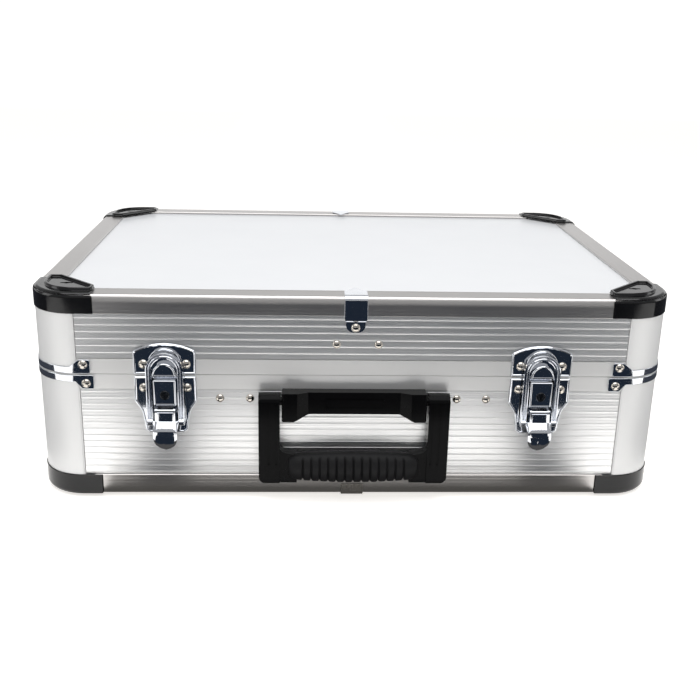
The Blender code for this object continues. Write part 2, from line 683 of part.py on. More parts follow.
def make_lid(body):
    ceiling = HIGH_Z - EDGE_SHEET - GAP
    wall_high = ceiling - LID_SHEET - GAP
    rim_high = PARTING_Z + GAP / 2 + RIM_HEIGHT
    make_sheet("top_panel", body, ceiling - LID_SHEET, ceiling)
    make_walls("lid", body, rim_high + GAP, wall_high, LID_POST_FLAT)
    make_posts("lid", body, PARTING_Z + GAP / 2, wall_high, LID_POST_FLAT)
    make_edges("top", body, LID_EDGE_LEG, HIGH_Z, 1)
    make_caps("top", body, LID_EDGE_LEG, HIGH_Z, 1)
    make_lid_rim(body)
    make_brackets("lid", body, 1)
    make_top_clip(body)
    make_hinge_leaf("hinge_lid_leaf", body, 1, 1, False)
    for side, x in LATCHES:
        make_catch("latch_catch_" + side, x, body)


def make_latch(side, x, base):
    lever = add_pivot("lever_pivot_" + side, base, (x, LEVER_PIVOT_Y, LEVER_PIVOT_Z))
    loop = add_pivot("loop_pivot_" + side, lever, (x, LOOP_PIVOT_Y, LOOP_PIVOT_Z))
    key = add_pivot("key_pivot_" + side, base, (x, HOUSING_Y, KEY_Z))
    make_lever("latch_lever_" + side, x, lever)
    make_loop("latch_loop_" + side, x, loop)
    make_key_plug("key_plug_" + side, x, key)


clear_scene()
case_frame = add_pivot("case_frame", None, (0, 0, 0))
case_frame[0].location.y = BACK_SHIFT
make_base(case_frame)
make_lid(add_pivot("lid_pivot", case_frame, (0, HINGE_Y, PARTING_Z)))
for latch_side, latch_x in LATCHES:
    make_latch(latch_side, latch_x, case_frame)
handle_pivot = add_pivot("handle_pivot", case_frame, (0, HANDLE_PIVOT_Y, HANDLE_PIVOT_Z))
make_handle_bail(handle_pivot)
make_handle_grip(handle_pivot)
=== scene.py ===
"""Looks of an aluminium-framed hard case with two draw latches and a drop-down handle.

The case is drawn in its own frame, in millimetres: x to the right, the handle towards -y, z up from
the floor, and the middle of the body at x = y = 0. Every piece is moved into the row frame at the end.
"""
import math

import bmesh
import bpy
from mathutils import Matrix, Vector


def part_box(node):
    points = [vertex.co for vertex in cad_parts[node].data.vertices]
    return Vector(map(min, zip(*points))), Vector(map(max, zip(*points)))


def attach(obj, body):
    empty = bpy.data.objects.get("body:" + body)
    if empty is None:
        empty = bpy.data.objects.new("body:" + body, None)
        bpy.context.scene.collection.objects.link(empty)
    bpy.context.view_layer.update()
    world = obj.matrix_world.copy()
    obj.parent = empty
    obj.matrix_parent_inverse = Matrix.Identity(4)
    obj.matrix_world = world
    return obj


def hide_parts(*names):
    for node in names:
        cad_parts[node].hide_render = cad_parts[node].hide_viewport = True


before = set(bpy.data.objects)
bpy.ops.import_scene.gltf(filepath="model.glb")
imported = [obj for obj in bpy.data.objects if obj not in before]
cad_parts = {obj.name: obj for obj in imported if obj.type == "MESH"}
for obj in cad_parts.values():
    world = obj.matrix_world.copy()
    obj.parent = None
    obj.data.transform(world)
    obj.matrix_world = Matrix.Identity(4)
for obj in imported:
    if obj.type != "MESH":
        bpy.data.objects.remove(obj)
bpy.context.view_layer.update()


# ---------------- Top and bottom panels
# Sheets of fibreboard, faced with smooth white-silver laminate that shows a faint brushing
# from side to side. They lie inside the edge profiles, which hold them all round.

MM = 0.001


class Wire:
    """A socket in a node tree. Arithmetic on it adds Math nodes."""

    def __init__(self, graph, socket):
        self.graph, self.socket = graph, socket

    def math(self, operation, *others):
        inputs = dict(enumerate((self, *others)))
        return self.graph.node("ShaderNodeMath", {"operation": operation}, inputs)

    def __add__(self, other):
        return self.math("ADD", other)

    def __sub__(self, other):
        return self.math("SUBTRACT", other)

    def __rsub__(self, other):
        return self * -1 + other

    def __mul__(self, other):
        return self.math("MULTIPLY", other)

    def __truediv__(self, other):
        return self.math("DIVIDE", other)

    __radd__, __rmul__ = __add__, __mul__


class Graph:
    """A node tree being built."""

    def __init__(self, tree):
        self.tree = tree

    def join(self, value, socket):
        if isinstance(value, Wire):
            self.tree.links.new(value.socket, socket)
        else:
            socket.default_value = value

    def node(self, kind, settings=None, inputs=None, output=0):
        """Add a node, with its settings first and then the values or links of its sockets."""
        made = self.tree.nodes.new(kind)
        for name, value in (settings or {}).items():
            setattr(made, name, value)
        for key, value in (inputs or {}).items():
            self.join(value, made.inputs[key])
        return Wire(self, made.outputs[output])


class Finish(Graph):
    """A material: constants go straight to the shader, patterns read the place on the object."""

    def __init__(self, name, colour, roughness, metallic=0.0, **constants):
        self.material = bpy.data.materials.new(name)
        self.material.use_nodes = True
        super().__init__(self.material.node_tree)
        self.shader = self.tree.nodes["Principled BSDF"]
        self.colour = (*colour, 1)
        self.roughness = roughness
        self.set("Base Color", self.colour)
        self.set("Roughness", roughness)
        self.set("Metallic", metallic)
        for socket, value in constants.items():
            self.set(socket.replace("_", " "), value)
        self.place = self.node("ShaderNodeTexCoord", output="Object")

    def set(self, socket, value):
        self.join(value, self.shader.inputs[socket])

    def noise(self, size, detail=2.0, stretch=(1, 1, 1)):
        """Noise from 0 to 1 with grains of a size in mm, drawn out along an axis by its stretch."""
        scale = [1 / (size * MM * part) for part in stretch]
        spot = self.node("ShaderNodeMapping", inputs={"Vector": self.place, "Scale": scale})
        inputs = {"Vector": spot, "Scale": 1.0, "Detail": detail}
        return self.node("ShaderNodeTexNoise", inputs=inputs)

    def shade(self, amount, darker):
        """Base colour that goes towards a darker one where amount is 1."""
        inputs = {0: amount, 6: self.colour, 7: (*darker, 1)}
        self.set("Base Color", self.node("ShaderNodeMix", {"data_type": "RGBA"}, inputs, output=2))

    def rough(self, pattern, spread):
        self.set("Roughness", (pattern - 0.5) * spread + self.roughness)

    def bump(self, height, distance):
        """Relief from a 0 to 1 height, its distance in mm."""
        inputs = {"Height": height, "Distance": distance * MM, "Strength": 1.0}
        self.set("Normal", self.node("ShaderNodeBump", inputs=inputs))


def brushed(name, colour, darker, roughness, metallic, grain=(60, 1, 1), relief=0.002, **constants):
    """Metal or laminate with fine streaks along one direction and slow cloudy changes."""
    finish = Finish(name, colour, roughness, metallic, **constants)
    streaks = finish.noise(0.35, 3.0, grain)
    clouds = finish.noise(45, 3.0)
    finish.shade(streaks * 0.5 + clouds * 0.5, darker)
    finish.rough(streaks * 0.7 + clouds * 0.3, 0.12)
    finish.bump(streaks, relief)
    return finish.material


def paint(finish, slot, *nodes):
    """Put a finish on CAD nodes that are shown as they are."""
    for node in nodes:
        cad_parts[node].material_slots[0].material = finish


laminate = brushed("white_silver_laminate", (0.86, 0.87, 0.88), (0.80, 0.81, 0.83), 0.34, 0.25)
paint(laminate, "panel_sheet", "top_panel", "bottom_panel")


# ---------------- Ribbed wall panels
# Boards faced with embossed aluminium sheet: a raised rib about every 5 mm, and two fine grooves
# between ribs. They stand between the corner posts, four round the base and four round the lid.

MIDDLE_Y = sum(corner.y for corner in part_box("top_panel")) / 2
TO_ROW_FRAME = Matrix.Translation((0, MIDDLE_Y, 0)) @ Matrix.Scale(MM, 4)


def span(node):
    """Lowest and highest corner of a CAD node, in the case's own frame."""
    return [TO_ROW_FRAME.inverted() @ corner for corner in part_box(node)]


def placed(name, data):
    """A new object in the scene."""
    item = bpy.data.objects.new(name, data)
    bpy.context.scene.collection.objects.link(item)
    return item


def modified(mesh, kind, inputs=None, **settings):
    """The mesh that one modifier makes of this one; inputs are those of a node tree."""
    host = placed("host", mesh)
    modifier = host.modifiers.new("modifier", kind)
    for name, value in settings.items():
        setattr(modifier, name, value)
    for identifier, value in (inputs or {}).items():
        modifier[identifier] = value
    evaluated = host.evaluated_get(bpy.context.evaluated_depsgraph_get())
    result = bpy.data.meshes.new_from_object(evaluated)
    host.modifiers.remove(modifier)
    bpy.data.objects.remove(host)
    return result


def add_piece(name, mesh, finish, body, slot, *nodes, sharp=30):
    """A finished piece: moved into the row frame, riding on its body and standing for CAD nodes."""
    mesh.transform(TO_ROW_FRAME)
    mesh.materials.clear()
    mesh.materials.append(finish)
    mesh.shade_smooth()
    mesh.set_sharp_from_angle(angle=math.radians(sharp))
    mesh = modified(mesh, "WEIGHTED_NORMAL", keep_sharp=True)
    mesh.name = name
    piece = placed(name, mesh)
    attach(piece, body)
    if nodes:
        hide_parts(*nodes)


class Pattern(Graph):
    """A Geometry Nodes tree with named inputs, which turns a mesh of points into a plain mesh."""

    def __init__(self, name, **inputs):
        super().__init__(bpy.data.node_groups.new(name, "GeometryNodeTree"))
        face = self.tree.interface
        face.new_socket("Geometry", in_out="OUTPUT", socket_type="NodeSocketGeometry")
        inputs = {"Points": "Geometry", **inputs, "Finish": "Material"}
        self.sockets = {
            label: face.new_socket(label, in_out="INPUT", socket_type="NodeSocket" + kind)
            for label, kind in inputs.items()
        }
        self.entry = self.tree.nodes.new("NodeGroupInput")

    def value(self, label):
        return Wire(self, self.entry.outputs[label])

    def position(self):
        """Where each point stands, as its x, y and z."""
        place = self.node("GeometryNodeInputPosition")
        return [self.node("ShaderNodeSeparateXYZ", inputs={0: place}, output=axis) for axis in "XYZ"]

    def moved(self, geometry, x, y, z, selection=True):
        place = self.node("ShaderNodeCombineXYZ", inputs={0: x, 1: y, 2: z})
        inputs = {"Geometry": geometry, "Selection": selection, "Position": place}
        return self.node("GeometryNodeSetPosition", inputs=inputs)

    def end(self, geometry):
        real = self.node("GeometryNodeRealizeInstances", inputs={0: geometry})
        inputs = {"Geometry": real, "Material": self.value("Finish")}
        painted = self.node("GeometryNodeSetMaterial", inputs=inputs)
        self.tree.links.new(painted.socket, self.tree.nodes.new("NodeGroupOutput").inputs[0])

    def make(self, points=None, **values):
        """The plain mesh that the tree gives for these values."""
        inputs = {self.sockets[label].identifier: value for label, value in values.items()}
        points = points or bpy.data.meshes.new("points")
        return modified(points, "NODES", inputs, node_group=self.tree)


BOARD = 6.0                   # thickness of a wall
RIB_HALF = 0.38
FINE_HALF = 0.3               # half width of the fine grooves between two ribs
RIB_ROW = 0.15                # between the rows of points up the sheet
WELD = 0.001
EMBOSSING = (                 # rib pitch, height of the first rib, rib relief and groove depth
    ("base", 4.87, 0.4, 0.2, 0.035),
    ("lid", 5.1, 4.5, 0.13, 0.012),
)
SIDES = (("front", 0), ("right", 90), ("back", 180), ("left", 270))


def ribbed_sheet():
    """Wall board seen from outside: face at y = 0, ribs along x, its back at y = thickness."""
    sheet = Pattern(
        "ribbed_sheet", Width="Float", Height="Float", Thickness="Float", Pitch="Float",
        First="Float", Rib="Float", Relief="Float", Groove="Float", Rows="Int",
    )
    height, thickness, pitch = (sheet.value(label) for label in ("Height", "Thickness", "Pitch"))
    inputs = {"Size X": sheet.value("Width"), "Size Y": height, "Vertices X": 2}
    grid = sheet.node("GeometryNodeMeshGrid", inputs={**inputs, "Vertices Y": sheet.value("Rows")})
    x, y, z = sheet.position()
    up = y + height * 0.5
    from_rib = (up - sheet.value("First")).math("PINGPONG", pitch * 0.5)
    rib = (1.5 - from_rib / sheet.value("Rib")).math("MAXIMUM", 0.0).math("MINIMUM", 1.0)
    from_groove = (from_rib - pitch / 3).math("ABSOLUTE")
    groove = (1 - from_groove / FINE_HALF).math("MAXIMUM", 0.0)
    front = sheet.moved(grid, x, groove * sheet.value("Groove") - rib * sheet.value("Relief"), up)
    depth = sheet.node("ShaderNodeCombineXYZ", inputs={1: thickness})
    inputs = {"Mesh": front, "Offset": depth, "Individual": False}
    shell = sheet.node("GeometryNodeExtrudeMesh", inputs=inputs)
    back = Wire(sheet, shell.socket.node.outputs["Top"])
    flat = sheet.moved(shell, x, thickness, z, back)
    turned = sheet.node("GeometryNodeFlipFaces", inputs={0: flat})
    both = sheet.node("GeometryNodeJoinGeometry")
    for part in (front, turned):
        sheet.tree.links.new(part.socket, both.socket.node.inputs[0])
    inputs = {"Geometry": both, "Distance": WELD}
    sheet.end(sheet.node("GeometryNodeMergeByDistance", inputs=inputs))
    return sheet


ribbed = brushed("ribbed_aluminium", (0.92, 0.92, 0.915), (0.88, 0.88, 0.875), 0.36, 1.0)
sheet_pattern = ribbed_sheet()
for shell, pitch, first_rib, relief, fine in EMBOSSING:
    for side, turn in SIDES:
        node = shell + "_panel_" + side
        low, high = span(node)
        half = high.x if side in ("front", "back") else high.y
        tall = high.z - low.z
        out = {"front": -low.y, "right": high.x, "back": high.y, "left": -low.x}[side]
        wall = sheet_pattern.make(
            Width=2 * half, Height=tall, Thickness=BOARD, Pitch=pitch, First=first_rib, Rib=RIB_HALF,
            Relief=relief, Groove=fine, Rows=round(tall / RIB_ROW), Finish=ribbed,
        )
        wall.transform(Matrix.Rotation(math.radians(turn), 4, "Z") @ Matrix.Translation((0, -out, low.z)))
        add_piece("ribbed_" + node, wall, ribbed, shell, "ribbed_sheet", node, sharp=15)


# ---------------- Corner posts
# Quarter-round aluminium extrusions with a satin finish, one at each corner of the base and the
# lid. The long edges are eased where they lap the wall panels.

STEP = math.radians(6)        # greatest turn between two points of a round stretch
CORNERS = (("front_left", -1, -1), ("front_right", 1, -1), ("back_right", 1, 1), ("back_left", -1, 1))
corner_x, corner_y = span("lid_post_back_right")[0].xy
half_x, half_y = span("top_edge_right")[1].x, span("top_edge_back")[1].y
corner_r = half_x - corner_x


def arc(centre, radius, start, stop):
    """Points on an arc, its angles in degrees; radius is one value or one for each axis."""
    across, up = radius if isinstance(radius, tuple) else (radius, radius)
    steps = max(2, math.ceil(abs(math.radians(stop - start)) / STEP))
    angles = [math.radians(start + (stop - start) * i / steps) for i in range(steps + 1)]
    return [(centre[0] + across * math.cos(a), centre[1] + up * math.sin(a)) for a in angles]


QUARTER = arc((0, 0), 1, 0, 90)        # a rounded edge of radius 1


def circle(centre, radius):
    return arc(centre, radius, 0, 360)[:-1]


def rounded(corners):
    """Closed outline from (across, up, radius) corners, each rounded to its radius."""
    points = []
    for i, (across, up, radius) in enumerate(corners):
        here = Vector((across, up))
        if not radius:
            points.append(here[:])
            continue
        before = (Vector(corners[i - 1][:2]) - here).normalized()
        after = (Vector(corners[(i + 1) % len(corners)][:2]) - here).normalized()
        half = before.angle(after) / 2
        centre = here + (before + after).normalized() * radius / math.sin(half)
        start = here + before * radius / math.tan(half) - centre
        stop = here + after * radius / math.tan(half) - centre
        sweep = math.atan2(start.x * stop.y - start.y * stop.x, start.dot(stop))
        steps = max(2, math.ceil(abs(sweep) / STEP - 0.01))
        for k in range(steps + 1):
            points.append((centre + Matrix.Rotation(sweep * k / steps, 2) @ start)[:])
    return points


def rectangle(left, right, low, high, radius):
    """Outline of a rectangle with round corners."""
    return rounded([(right, high, radius), (right, low, radius), (left, low, radius), (left, high, radius)])


def winding(outline):
    """1 for an outline drawn counter-clockwise, -1 for a clockwise one."""
    area = sum(u0 * v1 - u1 * v0 for (u0, v0), (u1, v1) in zip(outline[-1:] + outline[:-1], outline))
    return math.copysign(1, area)


def inset(outline, distance):
    """The outline drawn in by a distance."""
    count = len(outline)
    spots = [Vector(point) for point in outline]
    inward = distance * winding(outline)
    result = []
    for i, here in enumerate(spots):
        a = (here - spots[i - 1]).normalized()
        b = (spots[(i + 1) % count] - here).normalized()
        bend = max(0.2, 1 + a.dot(b))
        result.append((here.x - (a.y + b.y) * inward / bend, here.y + (a.x + b.x) * inward / bend))
    return result


def drawn_in(corners, distance):
    """Rounded outline of (across, up, radius) corners, drawn in by a distance."""
    plain = [corner[:2] for corner in corners]
    result = []
    for i, (across, up) in enumerate(inset(plain, distance)):
        before, here, after = (Vector(plain[k % len(plain)]) for k in (i - 1, i, i + 1))
        outside = math.copysign(1, (here - before).cross(after - here) * winding(plain))
        radius = corners[i][2]
        result.append((across, up, max(0.05, radius - outside * distance) if radius else 0))
    return rounded(result)


def skin(rings):
    """Closed mesh over a row of rings of 3D points, flat at both ends."""
    shape = bmesh.new()
    rows = [[shape.verts.new(point) for point in ring] for ring in rings]
    shape.faces.new(rows[0])
    shape.faces.new(rows[-1])
    for one, two in zip(rows, rows[1:]):
        for i in range(len(one)):
            shape.faces.new((one[i - 1], one[i], two[i], two[i - 1]))
    bmesh.ops.recalc_face_normals(shape, faces=shape.faces)
    mesh = bpy.data.meshes.new("skin")
    shape.to_mesh(mesh)
    shape.free()
    return mesh


def loft(levels, axis="Z"):
    """Closed mesh over (outline, height) pairs, the heights along an axis."""
    lay = {
        "X": lambda u, v, w: (w, u, v),
        "Y": lambda u, v, w: (u, w, v),
        "Z": lambda u, v, w: (u, v, w),
    }[axis]
    return skin([[lay(u, v, height) for u, v in outline] for outline, height in levels])


def prism(outline, low, high, axis="Z", edge=0.0):
    """Solid between two heights; edge rounds both rims."""
    if not edge:
        return loft(((outline, low), (outline, high)), axis)
    rim = [(edge * (1 - c), edge * (1 - s)) for c, s in QUARTER]
    levels = [(inset(outline, out), low + up) for out, up in reversed(rim)]
    levels += [(inset(outline, out), high - up) for out, up in rim]
    return loft(levels, axis)


def prism_pair(outline, near, far, edge=0.0):
    """Two solids along x, on either side of the middle."""
    return [prism(outline, *ends, "X", edge) for ends in ((near, far), (-far, -near))]


def combine(mesh, tool_mesh, operation):
    """Join a closed mesh with another, cut it by the other, or keep what both hold."""
    tool = placed("tool", tool_mesh)
    result = modified(mesh, "BOOLEAN", solver="MANIFOLD", operation=operation, object=tool)
    bpy.data.objects.remove(tool)
    return result


def joined(mesh, *others):
    """The mesh with others joined on, one after another."""
    for other in others:
        mesh = combine(mesh, other, "UNION")
    return mesh


def cut(mesh, *others):
    """The mesh with the others cut away."""
    for other in others:
        mesh = combine(mesh, other, "DIFFERENCE")
    return mesh


def mirrored(mesh, *signs):
    """A copy, mirrored on each axis whose sign is -1."""
    copy = mesh.copy()
    copy.transform(Matrix.Diagonal((*signs, 1)))
    if math.prod(signs) < 0:
        copy.flip_normals()
    return copy


def at(mesh, x=0.0, y=0.0, z=0.0, turn=0.0):
    """The mesh turned about z by degrees, then moved."""
    mesh.transform(Matrix.Translation((x, y, z)) @ Matrix.Rotation(math.radians(turn), 4, "Z"))
    return mesh


def add_corners(prefix, start, mesh, finish, body, slot, up=1, z=0.0):
    """Four copies of a piece made for the back right corner, mirrored to the corners and lifted."""
    for corner, sx, sy in CORNERS:
        node = start + corner
        add_piece(prefix + node, at(mirrored(mesh, sx, sy, up), z=z), finish, body, slot, node)


POST_WALL = 6.0
POST_EASE = (1.3, 0.55)       # width and depth of the eased edge
satin = brushed(
    "satin_aluminium", (0.71, 0.71, 0.705), (0.67, 0.67, 0.665), 0.45, 0.3, grain=(1, 1, 60)
)
for shell in ("base", "lid"):
    low, high = span(shell + "_post_back_right")
    flat = corner_x - low.x
    outer = corner_r
    wide, deep = POST_EASE
    inner = outer - POST_WALL
    trim = math.degrees(math.asin(max(0.0, wide - flat) / outer))
    outline = [(-flat, inner), (-flat, outer - deep)]
    if flat > wide:
        outline.append((wide - flat, outer))
    outline += arc((0, 0), outer, 90 - trim, trim)
    if flat > wide:
        outline.append((outer, wide - flat))
    outline += [(outer - deep, -flat), (inner, -flat)] + arc((0, 0), inner, 0, 90)[0 if flat else 1:-1]
    post = at(prism(outline, low.z, high.z, edge=0.25), corner_x, corner_y)
    add_corners("satin_", shell + "_post_", post, satin, shell, "post")


# ---------------- Rims
# Closing frames extruded in aluminium, one on the base and one on the lid. They meet at the
# parting line, where the tongue of the base rim enters the groove of the lid rim.

rim_metal = brushed("rim_aluminium", (0.93, 0.925, 0.91), (0.88, 0.875, 0.86), 0.42, 0.85)
paint(rim_metal, "rim", "base_rim", "lid_rim")


# ---------------- Edge profiles
# Grey anodised angle extrusions along the top and bottom edges. The outer corner is rounded, a
# shallow groove runs along the flange and two along the leg. Their ends lie under the caps.

EDGE_ROUND, EDGE_TALL = 2.5, 6.5
FLANGE, FLANGE_SHEET, LEG_SHEET = 18.2, 1.5, 1.1
EDGE_GROOVE = (0.9, 0.05)     # width and depth
LEG_GROOVES = (0.62, 0.80)    # places down the leg, as shares of it
FLANGE_GROOVE = 3.2           # from the flange's end


def groove(place, width, depth):
    """Four points across a groove, as (along, depth) pairs."""
    return [(place, 0), (place + width * 0.3, depth), (place + width * 0.7, depth), (place + width, 0)]


def edge_section(leg):
    """Section from its end: outside of the leg at u = 0, top of the flange at v = 0."""
    points = [(FLANGE, -0.4), (FLANGE - 0.4, 0)]
    points += [(u, -v) for u, v in reversed(groove(FLANGE - FLANGE_GROOVE, *EDGE_GROOVE))]
    points += arc((EDGE_ROUND, -EDGE_TALL), (EDGE_ROUND, EDGE_TALL), 90, 180)
    for share in LEG_GROOVES:
        points += [(v, -u) for u, v in groove(leg * share, *EDGE_GROOVE)]
    points += [(0, -leg + 0.3), (0.3, -leg), (LEG_SHEET, -leg)]
    return points + [(LEG_SHEET, -FLANGE_SHEET), (FLANGE, -FLANGE_SHEET)]


anodised = [
    brushed(name, (0.60, 0.58, 0.565), (0.57, 0.55, 0.535), 0.30, 1.0, grain=grain, relief=0.003)
    for name, grain in (
        ("grey_anodised_aluminium", (60, 1, 1)), ("grey_anodised_aluminium_sides", (1, 60, 1)),
    )
]
for level, shell, up in (("top", "lid", 1), ("bottom", "base", -1)):
    for side, turn in SIDES:
        node = level + "_edge_" + side
        low, high = span(node)
        if side in ("front", "back"):
            half, out, metal = high.x, half_y, anodised[0]
        else:
            half, out, metal = high.y, half_x, anodised[1]
        section = [(u - out, v) for u, v in edge_section(high.z - low.z)]
        edge = mirrored(prism(section, -half, half, "X"), 1, 1, up)
        edge = at(edge, z=high.z if up > 0 else low.z, turn=turn)
        add_piece("anodised_" + node, edge, metal, shell, "edge_profile", node)


# ---------------- Corner caps
# Gloss black mouldings over the eight corners, held by a screw under the pad. A triangular pad
# stands proud of each, with a rim round a recessed floor: the case stands and stacks on the pads.

CAP_LEG, CAP_DIAGONAL = 47.0, 16.0
CAP_SKIN, CAP_GAP, CAP_TOP = 0.6, 0.15, 1.1
CAP_SHOULDER, CAP_FOOT = 3.7, 0.35      # radius over the top edge, and ease at the skirt's foot
PAD_RISE, PAD_INSET, PAD_RIM, PAD_FLOOR, PAD_EDGE = 3.0, 7.6, 2.2, 1.6, 0.8
SLOT_X, SLOT_Y, SLOT_LONG, SLOT_WIDE, SCREW_EYE = 205.8, 138.5, 4.6, 1.2, 2.2


def cap_corners(margin, leg_end, diagonal, tip=0.6):
    """Corners of the plan: the round corner, two legs and the diagonal between them."""
    far_x, far_y = half_x - leg_end, half_y - leg_end
    return [
        (far_x, half_y - diagonal, tip),
        (far_x, half_y - margin, tip),
        (half_x - margin, half_y - margin, corner_r - margin),
        (half_x - margin, far_y, tip),
        (half_x - diagonal, far_y, tip),
    ]


def cap_shell(skirt, proud):
    """Solid of a cap, its shoulder round and the foot of its skirt eased."""
    plan = cap_corners(-proud, CAP_LEG, CAP_DIAGONAL)
    levels = [(drawn_in(plan, CAP_FOOT), -skirt), (drawn_in(plan, 0), -skirt + CAP_FOOT)]
    return loft(levels + [
        (drawn_in(plan, CAP_SHOULDER * (1 - c)), CAP_TOP - CAP_SHOULDER * (1 - s)) for c, s in QUARTER
    ])


def corner_cap(skirt):
    """Cap for the back right corner, with z = 0 at the outside of the edge profiles."""
    hollow = prism(rounded(cap_corners(-CAP_GAP, 2 * CAP_LEG, CAP_LEG)), -skirt - 1, CAP_GAP)
    pad = cap_corners(PAD_INSET, CAP_LEG - 1.5, CAP_DIAGONAL + 1.0, 3.2)
    rise = [(drawn_in(pad, -0.5), CAP_TOP - 0.3), (drawn_in(pad, -0.15), CAP_TOP + 0.3)]
    for c, s in QUARTER:
        rise.append((drawn_in(pad, PAD_EDGE * (1 - c)), PAD_RISE - PAD_EDGE * (1 - s)))
    floor_z = PAD_RISE - PAD_FLOOR
    dip = [(drawn_in(pad, PAD_RIM + 0.4), floor_z), (drawn_in(pad, PAD_RIM + 0.1), floor_z + 0.3)]
    dip += [(drawn_in(pad, PAD_RIM), PAD_RISE - 0.4), (drawn_in(pad, PAD_RIM - 0.5), PAD_RISE + 0.1)]
    slot = rectangle(
        SLOT_X - SLOT_LONG, SLOT_X + SLOT_LONG, SLOT_Y - SLOT_WIDE, SLOT_Y + SLOT_WIDE, SLOT_WIDE - 0.1
    )
    eye = circle((SLOT_X, SLOT_Y), SCREW_EYE)
    holes = [prism(outline, floor_z - 1.0, PAD_RISE) for outline in (slot, eye)]
    shell = cut(cap_shell(skirt, CAP_GAP + CAP_SKIN), hollow)
    return cut(joined(shell, loft(rise)), loft(dip), *holes)


def moulded(name, colour, roughness, grain=0.9, relief=0.012, **constants):
    """Moulded plastic: a slight waviness in the gloss, and rubbed patches that are less shiny."""
    finish = Finish(name, colour, roughness, **constants)
    skin_grain = finish.noise(grain, 3.0)
    rubbed = finish.noise(22, 4.0)
    finish.shade(rubbed * 0.4, [part * 1.7 + 0.002 for part in colour])
    finish.rough(rubbed * 0.6 + skin_grain * 0.4, 0.14)
    finish.bump(skin_grain, relief)
    return finish.material


gloss_black = moulded(
    "gloss_black_plastic", (0.003, 0.003, 0.0034), 0.12, grain=6.0, Specular_IOR_Level=0.4
)
for level, shell, up in (("top", "lid", 1), ("bottom", "base", -1)):
    low, high = span(level + "_edge_front")
    cap = corner_cap(high.z - low.z)
    z = high.z if up > 0 else low.z
    add_corners("moulded_", level + "_cap_", cap, gloss_black, shell, "corner_cap", up, z)


# ---------------- Corner brackets
# Chrome-plated strips beside the parting line, stamped flat with a tab at each end and bent
# round the posts. A rivet holds each tab.

BRACKET_SHEET = 0.65
TAB_HEIGHT, BAND_HEIGHT = 10.3, 5.0
# End of the tab, and head and foot of its slanted shoulder, from the corner's centre.
TABS = {"lid": (9.8, 1.7, -5.0), "base": (12.0, 3.7, -1.0)}
TAB_R, BAND_R = 1.6, 1.0


def corner_bracket(end, head, foot):
    """Bracket for the back right corner, with z = 0 at its edge beside the parting line."""
    radius = corner_r + 0.1
    bend = radius * math.pi / 2
    tab = [(end, 0, TAB_R), (end, TAB_HEIGHT, TAB_R), (head, TAB_HEIGHT, TAB_R), (foot, BAND_HEIGHT, BAND_R)]
    outline = [(bend + u, v, r) for u, v, r in tab] + [(-u, v, r) for u, v, r in reversed(tab)]
    flat = prism(rounded(outline), 0, BRACKET_SHEET, edge=0.35)
    shape = bmesh.new()
    shape.from_mesh(flat)
    cuts = math.ceil(math.pi / 2 / STEP)
    for k in range(cuts + 1):
        everything = shape.verts[:] + shape.edges[:] + shape.faces[:]
        where = (bend * k / cuts, 0, 0)
        bmesh.ops.bisect_plane(shape, geom=everything, plane_co=where, plane_no=(1, 0, 0))
    for vert in shape.verts:
        along, height, out = vert.co
        turn = min(max(along / radius, 0.0), math.pi / 2)
        before, after = min(along, 0.0), max(along - bend, 0.0)
        x = corner_x + (radius + out) * math.sin(turn) + before
        vert.co = (x, corner_y + (radius + out) * math.cos(turn) - after, height)
    bmesh.ops.recalc_face_normals(shape, faces=shape.faces)
    shape.to_mesh(flat)
    shape.free()
    return flat


def plated(name, colour, roughness, relief=0.004):
    """Bright plating: nearly a mirror, with faint polishing marks and a few dull specks."""
    finish = Finish(name, colour, roughness, 1.0)
    polish = finish.noise(0.8, 2.0, (4, 1, 1))
    haze = finish.noise(9, 4.0)
    finish.shade(haze * 0.35, [part * 0.8 for part in colour])
    finish.rough(haze * 0.7 + polish * 0.3, 0.08)
    finish.bump(polish, relief)
    return finish.material


chrome = plated("chrome_plate", (0.78, 0.80, 0.84), 0.07)
for shell, up in (("lid", 1), ("base", -1)):
    low, high = span(shell + "_bracket_back_right")
    bracket = corner_bracket(*TABS[shell])
    z = low.z if up > 0 else high.z
    add_corners("chrome_", shell + "_bracket_", bracket, chrome, shell, "chrome_fitting", up, z)


# ---------------- Rear hinge
# A strip hinge in zinc-plated steel along the back: one leaf riveted to each rim, rolled into
# knuckles that take turns along the pin. The pin belongs to the base leaf.

zinc = plated("zinc_plated_steel", (0.62, 0.63, 0.64), 0.30, relief=0.01)
paint(zinc, "hinge_steel", "hinge_base_leaf", "hinge_lid_leaf")


# ---------------- Latches
# Steel draw latches, chrome plated. The pressed catch plate with its dome is riveted to the lid;
# the base plate carries the lock housing and the ears that the lever turns on.

latch_x = sum(corner.x for corner in span("latch_catch_right")) / 2
latch_back = span("latch_catch_right")[1].y
PLATE_BEAD = (                # distance inside the edge, and height there
    (0, 0), (0, 0.45), (0.15, 0.65), (0.35, 0.7), (0.6, 0.95), (0.85, 1.1), (1.1, 1.05), (1.35, 0.85),
    (1.6, 0.7), (1.8, 0.7),
)


def pressed_plate(corners):
    """A plate with a raised bead just inside its edge, on the -y side."""
    return loft([(drawn_in(corners, out), latch_back - rise) for out, rise in PLATE_BEAD], "Y")


def both_ways(half):
    """Whole outline from its right half, given from the top down, with the middle at u = 0."""
    return list(half) + [(-u, *rest) for u, *rest in reversed(half) if u > 0.001]


def boss(corners, base, face, edge):
    """A pressed boss: straight sides, a rounded edge, and a face a little below the edge."""
    levels = [(drawn_in(corners, 0), base)]
    for c, s in QUARTER:
        levels.append((drawn_in(corners, edge * (1 - c)), face + edge * (1 - s)))
    levels += [(drawn_in(corners, edge + out), face + 0.2) for out in (0.35, 0.5)]
    return loft(levels, "Y")


